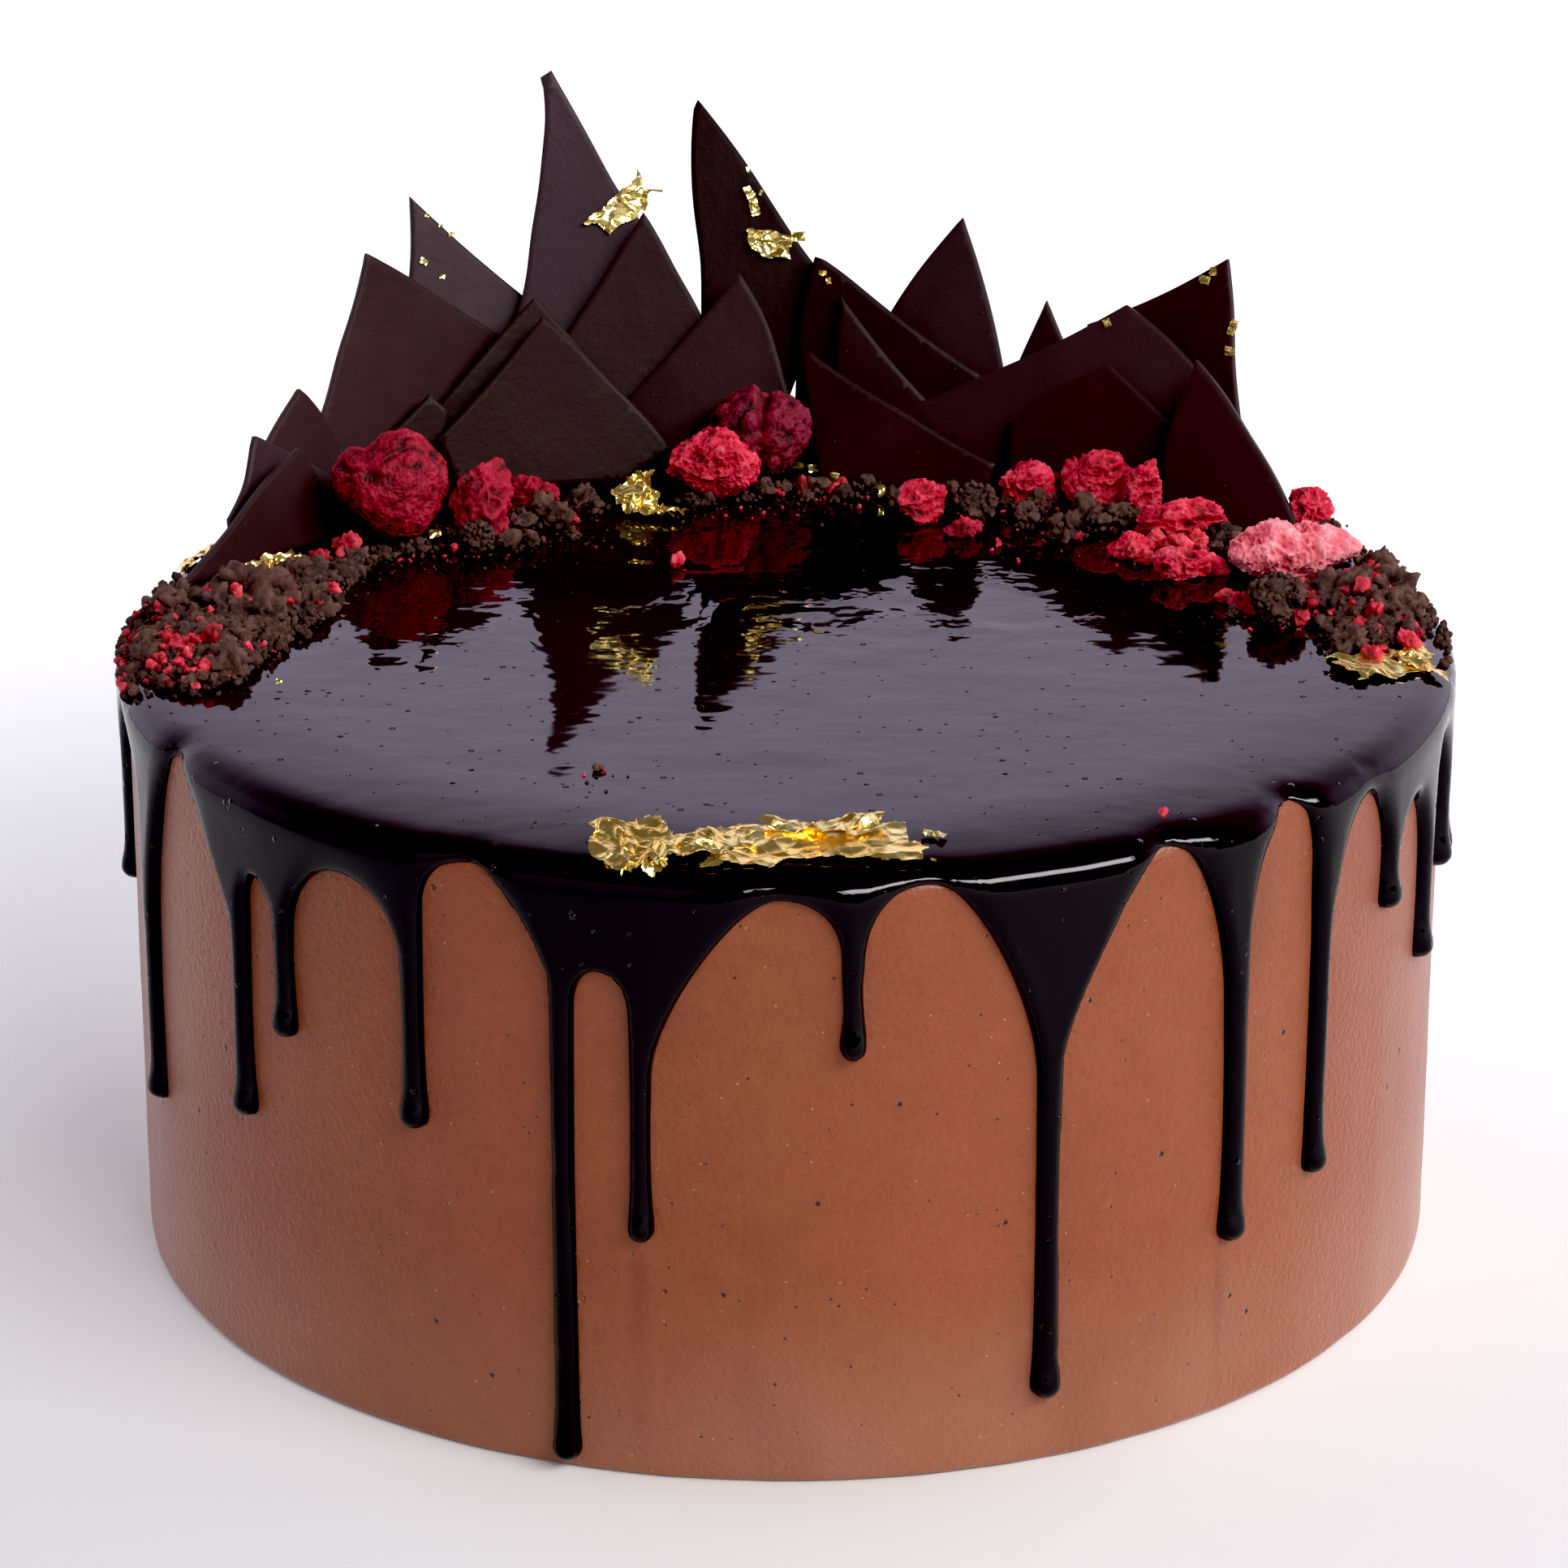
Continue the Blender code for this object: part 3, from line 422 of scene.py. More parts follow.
def buttercream_material():
    m, nt, b = new_material("caramel_buttercream")
    v = coords(nt)
    tall = coords(nt, (1.0, 1.0, 0.14))
    broad = noise_tex(nt, v, 14.0, 2.0, 0.5)
    streak = noise_tex(nt, tall, 30.0, 2.0, 0.5)
    mottle = noise_tex(nt, v, 170.0, 2.0, 0.65)
    grain = noise_tex(nt, v, 1050.0, 2.0, 0.55)
    base = ramp(nt, broad, [(0.30, (0.262, 0.0650, 0.0250)), (0.70, (0.312, 0.0820, 0.0330))])
    base = mix(nt, remap(nt, streak, 0.42, 0.72, 0.0, 0.35), base, (0.225, 0.0520, 0.0200))
    base = mix(nt, remap(nt, mottle, 0.38, 0.70, 0.0, 0.30), base, (0.35, 0.104, 0.046))
    base = mix(nt, remap(nt, grain, 0.48, 0.75, 0.0, 0.30), base, (0.16, 0.034, 0.013))
    # painted along with the wall: a paler foot, which is painted light reflected from the pale floor; paler streaks at
    # both sides, partly smears and partly painted sheen; the stains under two drips, random darker blots, and a
    # painted shade on the left front of the wall
    painted_foot_light_and_side_sheen = nt.nodes.new("ShaderNodeAttribute")
    painted_foot_light_and_side_sheen.attribute_name = "pale"
    base = mix(nt, painted_foot_light_and_side_sheen.outputs["Fac"], base, (0.43, 0.205, 0.135))
    stains_and_painted_shade = nt.nodes.new("ShaderNodeAttribute")
    stains_and_painted_shade.attribute_name = "stains_and_painted_shade"
    base = mix(nt, stains_and_painted_shade.outputs["Fac"], base, (0.120, 0.024, 0.012))
    # pinholes and smaller holes, bumped in and painted dark inside as painted shade, and pale grains
    holes = voronoi_tex(nt, v, 120.0)
    base = mix(nt, remap(nt, holes, 0.030, 0.048, 0.92, 0.0), base, (0.020, 0.006, 0.004))
    small_holes = voronoi_tex(nt, coords(nt, (0.97, 1.05, 1.02)), 300.0)
    base = mix(nt, remap(nt, small_holes, 0.042, 0.070, 0.75, 0.0), base, (0.040, 0.010, 0.006))
    pale = voronoi_tex(nt, coords(nt, (1.13, 0.91, 1.07)), 290.0)
    base = mix(nt, remap(nt, pale, 0.036, 0.062, 0.60, 0.0), base, (0.66, 0.36, 0.22))
    nt.links.new(base, b.inputs["Base Color"])
    nt.links.new(remap(nt, streak, 0.3, 0.7, 0.33, 0.46), b.inputs["Roughness"])
    b.inputs["IOR"].default_value = 1.42
    b.inputs["Specular IOR Level"].default_value = 0.50
    b.inputs["Sheen Weight"].default_value = 0.30
    b.inputs["Sheen Roughness"].default_value = 0.35
    b.inputs["Sheen Tint"].default_value = (0.95, 0.95, 1.0, 1.0)
    n1 = bump(nt, grain, 1.0, 0.00026)
    n2 = bump(nt, remap(nt, small_holes, 0.034, 0.080, 0.0, 1.0), 0.9, 0.00030, n1)
    n3 = bump(nt, remap(nt, holes, 0.024, 0.056, 0.0, 1.0), 1.0, 0.0005, n2)
    n4 = bump(nt, streak, 0.12, 0.0010, n3)
    nt.links.new(n4, b.inputs["Normal"])
    return m


def glaze_material():
    m, nt, b = new_material("dark_mirror_glaze")
    v = coords(nt)
    cloud = noise_tex(nt, v, 22.0, 1.0, 0.5)
    base = ramp(nt, cloud, [(0.3, (0.0125, 0.0052, 0.0076)), (0.7, (0.0180, 0.0080, 0.0110))])
    sep = nt.nodes.new("ShaderNodeSeparateXYZ")
    nt.links.new(v, sep.inputs["Vector"])
    # painted shade: below the top, on the drips and the glaze's wall, the colour turns almost black, as the glaze
    # there reflects the dark front
    base = mix(nt, remap(nt, sep.outputs["Z"], 0.0885, 0.0935, 1.0, 0.0), base, (0.0014, 0.0003, 0.0008))
    dust = voronoi_tex(nt, coords(nt, (1.0, 1.0, 1.6)), 150.0)
    base = mix(nt, remap(nt, dust, 0.030, 0.050, 0.7, 0.0), base, (0.060, 0.022, 0.020))
    nt.links.new(base, b.inputs["Base Color"])
    smear = noise_tex(nt, v, 60.0, 2.0, 0.55)
    rough = remap(nt, smear, 0.38, 0.70, 0.020, 0.060)
    nt.links.new(rough, b.inputs["Roughness"])
    b.inputs["IOR"].default_value = 1.32
    b.inputs["Specular Tint"].default_value = (0.96, 0.90, 1.0, 1.0)
    # soft orange peel, patches of short waves towards the toppings, and broken bubbles
    peel = noise_tex(nt, v, 150.0, 2.0, 0.5)
    n0 = bump(nt, peel, 0.5, 0.00003)
    towards = remap(nt, sep.outputs["Y"], -0.022, 0.016, 0.0, 1.0)
    patches = remap(nt, noise_tex(nt, coords(nt, (1.0, 0.8, 1.0)), 62.0, 2.0, 0.5), 0.44, 0.54, 0.0, 1.0)
    choppy = noise_tex(nt, coords(nt, (0.9, 1.0, 1.0)), 210.0, 2.0, 0.55)
    n1 = bump(nt, math_node(nt, "MULTIPLY", choppy, math_node(nt, "MULTIPLY", towards, patches)), 1.0, 0.00020, n0)
    drawn = noise_tex(nt, coords(nt, (1.0, 1.4, 1.0)), 85.0, 2.0, 0.5)
    n2 = bump(nt, drawn, 0.6, 0.00020, n1)
    pits = voronoi_tex(nt, v, 300.0)
    n3 = bump(nt, remap(nt, pits, 0.045, 0.100, 0.0, 1.0), 1.0, 0.00030, n2)
    blisters = voronoi_tex(nt, coords(nt, (0.93, 1.08, 1.0)), 175.0)
    n4 = bump(nt, remap(nt, blisters, 0.035, 0.085, 1.0, 0.0), 1.0, 0.00035, n3)
    nt.links.new(n4, b.inputs["Normal"])
    return m


def chocolate_material():
    m, nt, b = new_material("dark_chocolate")
    v = coords(nt)
    cloud = noise_tex(nt, v, 26.0, 2.0, 0.6)
    base = ramp(nt, cloud, [(0.30, (0.0380, 0.0180, 0.0205)), (0.70, (0.0540, 0.0250, 0.0290))])
    fine = noise_tex(nt, v, 620.0, 2.0, 0.65)
    base = mix(nt, remap(nt, fine, 0.40, 0.75, 0.0, 0.40), base, (0.058, 0.0250, 0.0270))
    bloom = noise_tex(nt, coords(nt, (1.0, 1.0, 0.5)), 70.0, 3.0, 0.6)
    base = mix(nt, remap(nt, bloom, 0.55, 0.80, 0.0, 0.35), base, (0.064, 0.0330, 0.0440))
    dots = voronoi_tex(nt, v, 190.0)
    base = mix(nt, remap(nt, dots, 0.03, 0.06, 0.6, 0.0), base, (0.075, 0.045, 0.045))
    # painted sheen: a bluish sheen painted on some of the shards
    painted_blue_sheen = nt.nodes.new("ShaderNodeAttribute")
    painted_blue_sheen.attribute_name = "painted_blue_sheen"
    base = mix(nt, painted_blue_sheen.outputs["Fac"], base, (0.0620, 0.0370, 0.0500))
    # painted shade: each shard darker by how little light it gets where it stands, with random streaks of tone
    shade = nt.nodes.new("ShaderNodeAttribute")
    shade.attribute_name = "shade"
    base = mix(nt, shade.outputs["Fac"], base, (0.0190, 0.0090, 0.0110))
    nt.links.new(base, b.inputs["Base Color"])
    nt.links.new(remap(nt, bloom, 0.3, 0.7, 0.34, 0.50), b.inputs["Roughness"])
    b.inputs["IOR"].default_value = 1.40
    b.inputs["Specular IOR Level"].default_value = 0.08
    n1 = bump(nt, fine, 0.35, 0.00016)
    n2 = bump(nt, noise_tex(nt, v, 75.0, 2.0, 0.55), 0.16, 0.0010, n1)
    n3 = bump(nt, remap(nt, dots, 0.02, 0.06, 1.0, 0.0), 0.4, 0.00025, n2)
    nt.links.new(n3, b.inputs["Normal"])
    return m


def berry_material(name, dark, mid, light, powder, amount):
    """Dried berry: painted shade in the creases, painted highlight and pale dust on what stands out."""
    m, nt, b = new_material(name)
    v = coords(nt)
    high = nt.nodes.new("ShaderNodeAttribute")
    high.attribute_name = "high"
    grain = noise_tex(nt, v, 1100.0, 2.0, 0.7)
    patch = noise_tex(nt, v, 240.0, 3.0, 0.65)
    level = math_node(nt, "ADD", high.outputs["Fac"], remap(nt, patch, 0.30, 0.70, -0.20, 0.20))
    # painted shade in the creases and painted highlight on the raised parts, by the 'high' relief value; the powder
    # dust is the berry's own
    base = ramp(nt, level, [(0.10, dark), (0.48, mid), (0.90, light)])
    dust = math_node(nt, "MULTIPLY", remap(nt, grain, 0.50, 0.66, 0.0, 1.0), remap(nt, high.outputs["Fac"], 0.35, 0.90, 0.10, 1.0))
    base = mix(nt, math_node(nt, "MULTIPLY", dust, amount), base, powder)
    nt.links.new(base, b.inputs["Base Color"])
    nt.links.new(remap(nt, patch, 0.3, 0.7, 0.62, 0.85), b.inputs["Roughness"])
    b.inputs["Specular IOR Level"].default_value = 0.22
    b.inputs["Subsurface Weight"].default_value = 0.10
    b.inputs["Subsurface Radius"].default_value = (1.0, 0.12, 0.12)
    b.inputs["Subsurface Scale"].default_value = 0.0006
    n1 = bump(nt, grain, 0.50, 0.00035)
    nt.links.new(n1, b.inputs["Normal"])
    return m


def crumb_material():
    m, nt, b = new_material("chocolate_crumb")
    v = coords(nt)
    high = nt.nodes.new("ShaderNodeAttribute")
    high.attribute_name = "high"
    patch = noise_tex(nt, v, 420.0, 2.0, 0.65)
    grain = noise_tex(nt, v, 1700.0, 2.0, 0.7)
    # 'high' holds each grain's random tone with painted light and shade by relief; the heap cores hold none and come
    # out darker
    level = math_node(nt, "ADD", remap(nt, high.outputs["Fac"], 0.0, 1.0, -0.16, 0.16), patch)
    base = ramp(nt, level, [(0.26, (0.026, 0.0100, 0.0085)), (0.48, (0.070, 0.0300, 0.0255)), (0.74, (0.150, 0.0720, 0.0600))])
    base = mix(nt, remap(nt, grain, 0.54, 0.74, 0.0, 0.50), base, (0.200, 0.105, 0.088))
    nt.links.new(base, b.inputs["Base Color"])
    b.inputs["Roughness"].default_value = 0.85
    b.inputs["Specular IOR Level"].default_value = 0.25
    nt.links.new(bump(nt, grain, 0.8, 0.0004), b.inputs["Normal"])
    return m


def gold_material():
    m, nt, b = new_material("gold_leaf")
    v = coords(nt)
    patch = noise_tex(nt, v, 300.0, 2.0, 0.5)
    base = ramp(nt, patch, [(0.3, (1.0, 0.65, 0.150)), (0.7, (1.0, 0.84, 0.34))])
    nt.links.new(base, b.inputs["Base Color"])
    nt.links.new(remap(nt, patch, 0.3, 0.7, 0.13, 0.27), b.inputs["Roughness"])
    b.inputs["Metallic"].default_value = 0.90
    crinkle = voronoi_tex(nt, v, 430.0)
    n1 = bump(nt, crinkle, 0.8, 0.0006)
    n2 = bump(nt, noise_tex(nt, v, 260.0, 1.0, 0.5), 0.5, 0.0010, n1)
    nt.links.new(n2, b.inputs["Normal"])
    return m


# the glaze ---------------------------------------------------------------------------------------
def drip_tables():
    rng = random.Random(BACK_SEED)
    drips, arches = list(DRIPS), list(ARCHES)
    first, last = drips[0][0], drips[-1][0]
    span = 360.0 - (last - first)
    step = span / (BACK_DRIPS + 1)
    angles = [last + step * (i + 1) + rng.uniform(-0.26, 0.26) * step for i in range(BACK_DRIPS)]
    whole = [last] + angles + [first + 360.0]
    for a, b in zip(whole, whole[1:]):
        arches.append(((a + b) / 2 + rng.uniform(-0.12, 0.12) * (b - a), rng.uniform(82.0, 91.8)))
    for a in angles:
        drips.append((a, rng.choice((8, 22, 34, 42, 50, 58, 66)) + rng.uniform(-5, 5), rng.uniform(3.4, 3.9),
                      rng.uniform(64, 77), rng.uniform(0.28, 0.58), rng.uniform(64, 77), rng.uniform(0.28, 0.58)))
    return drips, arches


def bezier(a, b, c, d, count):
    t = np.linspace(0, 1, count + 1)[1:, None]
    a, b, c, d = (np.array(p, float) for p in (a, b, c, d))
    return ((1 - t) ** 3 * a + 3 * t * (1 - t) ** 2 * b + 3 * t * t * (1 - t) * c + t**3 * d).tolist()


def glaze_border():
    """The glaze's lower border, unrolled, and each drip's line and tip."""
    drips, arches = drip_tables()
    seam = min(arches, key=lambda a: abs(a[0] - 180.0))
    scale = math.radians(1.0) * BODY_RADIUS
    left = seam[0] - 360.0
    turn = lambda angle: angle - 360.0 if angle > seam[0] else angle
    drips = sorted((turn(d[0]), *d[1:]) for d in drips)
    arches = sorted([(turn(a[0]), a[1]) for a in arches if a is not seam] + [(left, seam[1]), seam])
    line = [[arches[0][0] * scale, arches[0][1]]]
    tips = []
    rng = random.Random(31)
    for (angle, tip, width, neck_l, full_l, neck_r, full_r), before, after in zip(drips, arches, arches[1:]):
        c, half = angle * scale, width / 2
        bulb = half * 1.13
        ax, az, bx, bz = before[0] * scale, before[1], after[0] * scale, after[1]
        nl, nr = min(neck_l, az - 3), min(neck_r, bz - 3)
        if tip > nl - 4:
            nl = tip + 4
        if tip > nr - 4:
            nr = tip + 4
        sway = rng.uniform(-0.35, 0.35)
        phase = rng.uniform(0, 6)
        tips.append((c, tip, half, min(nl, nr)))
        low = tip + bulb

        def neck(z, side, top):
            k = (top - z) / max(top - low, 1e-6)
            slim = half * (1.0 - 0.10 * math.sin(min(1.0, k * 1.15) * math.pi) ** 0.8)
            swell = (bulb - half * 0.97) * math.exp(-(((z - low) / 3.2) ** 2))
            drift = sway * math.sin(k * 3.0 + phase) * math.sin(math.pi * min(1, k)) * 0.6
            return [c + side * (slim + swell) + drift, z]

        line += bezier((ax, az), (ax + (c - half - ax) * full_l, az), (c - half, nl + (az - nl) * full_l), (c - half, nl), 26)
        count = max(2, int((nl - low) / 0.8))
        line += [neck(nl + (low - nl) * i / count, -1, nl) for i in range(1, count + 1)]
        ax0, bx0 = neck(low, -1, nl)[0], neck(low, 1, nr)[0]
        mid, rad = (ax0 + bx0) / 2, (bx0 - ax0) / 2
        for i in range(1, 13):
            a = math.pi * i / 13
            line.append([mid - rad * math.cos(a), low - rad * math.sin(a)])
        count = max(2, int((nr - low) / 0.8))
        line += [neck(low + (nr - low) * i / count, 1, nr) for i in range(0, count)]
        line.append([c + half, nr])
        line += bezier((c + half, nr), (c + half, nr + (bz - nr) * full_r), (bx - (bx - c - half) * full_r, bz), (bx, bz), 26)
    return np.array(line), tips


def resampled(line, pitch):
    seg = np.linalg.norm(np.diff(line, axis=0), axis=1)
    at = np.concatenate([[0], np.cumsum(seg)])
    count = int(at[-1] / pitch)
    t = np.linspace(0, at[-1], count + 1)
    return np.stack([np.interp(t, at, line[:, 0]), np.interp(t, at, line[:, 1])], 1)


def shoulder(r):
    """How far the glaze's top sinks towards the rim."""
    return 1.6 * (np.maximum(r - 80.0, 0) / 22.0) ** 2


def skin_points(xy, off):
    x, y = xy[:, 0], xy[:, 1]
    angle = x / BODY_RADIUS - math.pi / 2
    a = np.clip((y - WALL) / EDGE_RUN, 0, 1) * math.pi / 2
    inward = np.maximum(y - WALL - EDGE_RUN, 0)
    r = BODY_RADIUS - TOP_EDGE + (TOP_EDGE + off) * np.cos(a) - inward
    z = np.minimum(y, WALL) + (TOP_EDGE + off) * np.sin(a)
    z = z - shoulder(r) * np.sin(a) ** 2
    return np.stack([r * np.cos(angle), r * np.sin(angle), z], 1)


def glaze_z(x, y):
    """Height of the glaze's upper surface over a point in plan."""
    r = np.hypot(x, y)
    full = TOP_EDGE + GAP + GLAZE
    c = np.clip((r - (BODY_RADIUS - TOP_EDGE)) / full, 0, 0.999)
    z = WALL + full * np.sqrt(1 - c * c)
    return z - shoulder(np.minimum(r, 102.0)) * np.where(c > 0, 1 - c * c, 1.0)


def ripples(p):
    """Slow waves in the poured surface, and patches of short ones near the toppings."""
    h = 0.060 * vnoise(p, 27.0, 5) + 0.040 * vnoise(p, 13.0, 6) + 0.014 * vnoise(p, 6.5, 7)
    near = smoothstep(-22.0, 20.0, p[:, 1] + 14.0 * vnoise(p, 30.0, 8))
    h = h + near * 0.014 * vnoise(p, 4.6, 9)
    r = np.hypot(p[:, 0], p[:, 1])
    return h * (1.0 - 0.5 * smoothstep(84, 98, r))


def mirror_glaze(mat):
    border, tips = glaze_border()
    border = resampled(border, 0.56)
    x0, x1 = border[0][0], border[-1][0]
    turn = x1 - x0
    top = WALL + EDGE_RUN + (BODY_RADIUS - TOP_EDGE - TOP_RING)
    up = [h for h in np.arange(border[0][1] + 0.8, top - 0.5, 1.0)] + [top]
    across = 420
    top_row = np.stack([np.linspace(x0, x1, across + 1), np.full(across + 1, top)], 1)
    outline = np.concatenate([border, [(x1, h) for h in up], top_row[-2:0:-1], [(x0, h) for h in up[::-1]]])
    near = np.concatenate([border[:-1] - (turn, 0), border, border[1:] + (turn, 0)])
    near = near[(near[:, 0] > x0 - 20) & (near[:, 0] < x1 + 20)]
    d = border[2:] - border[:-2]
    d /= np.linalg.norm(d, axis=1)[:, None]
    normal = np.stack([-d[:, 1], d[:, 0]], 1)
    inner = []
    for k, depth in enumerate((0.10, 0.30, 0.62, 1.02, 1.45, 1.85, 2.5, 3.4)):
        step = 1 if k < 4 else 2
        ring = border[1:-1][::step] + normal[::step] * depth
        reach = border_distance(ring, near, 6.0)
        ring = ring[(reach > 0.965 * depth) & (ring[:, 0] > x0 + 0.4) & (ring[:, 0] < x1 - 0.4) & (ring[:, 1] < top - 0.4)]
        inner.append(ring)
    # middle lines of the drips
    for c, tip, half, neck in tips:
        z = np.arange(tip + 1.2, neck + 6, 0.9)
        inner.append(np.stack([np.full(len(z), c), z], 1))
    # open band above the drips
    pitch = 1.7
    rows = np.arange(40.0, top - 0.6, pitch * 0.87)
    for i, h in enumerate(rows):
        xs = np.arange(x0 + 0.8 + (i % 2) * pitch / 2, x1 - 0.8, pitch)
        inner.append(np.stack([xs, np.full(len(xs), h)], 1))
    inner_all = []
    taken = set()
    loop = np.concatenate([border, [(x1, top), (x0, top)]])
    for k, pts in enumerate(inner):
        ringed = k < 8
        reach = border_distance(pts, near, 8.0)
        if not ringed:
            free = reach > (1.1 if k < 8 + len(tips) else 3.9)
            pts, reach = pts[free], reach[free]
        cell = 0.30 if k < 2 else 0.42 if k < 8 else 0.6
        keep = []
        for p in pts:
            key = (round(p[0] / cell), round(p[1] / cell), cell)
            if key in taken:
                continue
            taken.add(key)
            keep.append(p)
        if keep:
            inner_all.append(np.array(keep))
    inner_all = np.concatenate(inner_all)
    inner_all = inner_all[inside_fast(inner_all, loop)]
    flat, tris = triangulate(outline, inner_all)
    depth = border_distance(flat, near, 8.0)
    full = np.full(len(flat), GLAZE)
    for c, tip, half, neck in tips:
        for shift in (-turn, 0.0, turn):
            band = np.abs(flat[:, 0] - c - shift) < half + 1.5
            z = flat[:, 1]
            bulb = 0.55 * np.exp(-(((z - tip - 2.0) / 2.4) ** 2))
            slim = -0.12 * smoothstep(neck + 4, neck - 4, z) * smoothstep(tip + 2, tip + 9, z)
            full = np.where(band & (z < neck + 4), GLAZE + bulb + slim, full)
    k = np.clip(1 - depth / (BEAD + 3.2 * smoothstep(78, 91, flat[:, 1])), 0, 1)
    rise = np.sqrt(np.clip(1 - k**2.0, 0, 1)) * full
    rise = rise - 0.35 * np.clip(1 - depth / 0.12, 0, 1)
    rise = GAP * np.clip(depth / 0.3, 0, 1) + rise
    pts3 = skin_points(flat, rise)
    on_top = smoothstep(WALL, WALL + EDGE_RUN, flat[:, 1])
    wall_wave = 0.10 * vnoise(pts3, 14.0, 3) + 0.05 * vnoise(pts3, 6.0, 4)
    out = pts3.copy()
    radial = pts3 * np.array([1, 1, 0])
    radial /= np.linalg.norm(radial, axis=1)[:, None]
    out += radial * (wall_wave * (1 - on_top) * smoothstep(0.6, 3.5, depth))[:, None]
    out[:, 2] += ripples(pts3) * on_top * smoothstep(1.0, 6.0, depth)
    # seam: both ends of the unrolled band are one line
    verts, faces = [out], [tris]
    ring = np.stack([np.cos(top_row[:-1, 0] / BODY_RADIUS - math.pi / 2), np.sin(top_row[:-1, 0] / BODY_RADIUS - math.pi / 2)], 1) * TOP_RING
    spots = []
    pitch = 1.45
    for i, y in enumerate(np.arange(-TOP_RING, TOP_RING, pitch * 0.87)):
        xs = np.arange(-TOP_RING + (i % 2) * pitch / 2, TOP_RING, pitch)
        spots.append(np.stack([xs, np.full(len(xs), y)], 1))
    spots = np.concatenate(spots)
    spots = spots[np.hypot(spots[:, 0], spots[:, 1]) < TOP_RING - 0.9]
    plan, tri2 = triangulate(ring, spots)
    disc = np.concatenate([plan, np.full((len(plan), 1), BODY_HEIGHT + GAP + GLAZE)], 1)
    disc[:, 2] -= shoulder(np.hypot(disc[:, 0], disc[:, 1]))
    disc[:, 2] += ripples(disc)
    # the disc joins the band
    rng = np.random.default_rng(12)
    faces.append(tri2 + len(out))
    verts.append(disc)
    v, f = weld(np.concatenate(verts), np.concatenate(faces))
    # the glaze's open border edges are listed and returned with it
    rims = rim_edges(f)
    low = v.copy()
    r = np.hypot(low[:, 0], low[:, 1])
    ob = build("mirror_glaze", v, f, mat)
    return ob, rims


def weld(v, f, eps=2e-3):
    key = np.round(v / eps).astype(np.int64)
    _, first, back = np.unique(key, axis=0, return_index=True, return_inverse=True)
    f = back.reshape(-1)[f]
    ok = (f[:, 0] != f[:, 1]) & (f[:, 1] != f[:, 2]) & (f[:, 0] != f[:, 2])
    return v[first], f[ok]


def inside_fast(points, polygon):
    """Even-odd test against a long polygon, sorted by height."""
    p = np.asarray(points, float)
    a = np.asarray(polygon, float)
    b = np.roll(a, -1, axis=0)
    lo, hi = np.minimum(a[:, 1], b[:, 1]), np.maximum(a[:, 1], b[:, 1])
    hit = np.zeros(len(p), bool)
    order = np.argsort(p[:, 1], kind="stable")
    for start in range(0, len(order), 400):
        rows = order[start : start + 400]
        y0, y1 = p[rows, 1].min(), p[rows, 1].max()
        cols = np.nonzero((hi >= y0) & (lo <= y1) & (a[:, 1] != b[:, 1]))[0]
        if not len(cols):
            continue
        ay, by = a[cols, 1][None], b[cols, 1][None]
        ax, bx = a[cols, 0][None], b[cols, 0][None]
        py, px = p[rows, 1][:, None], p[rows, 0][:, None]
        cross = ((ay > py) != (by > py)) & (px < (bx - ax) * (py - ay) / (by - ay) + ax)
        hit[rows] = cross.sum(1) % 2 == 1
    return hit


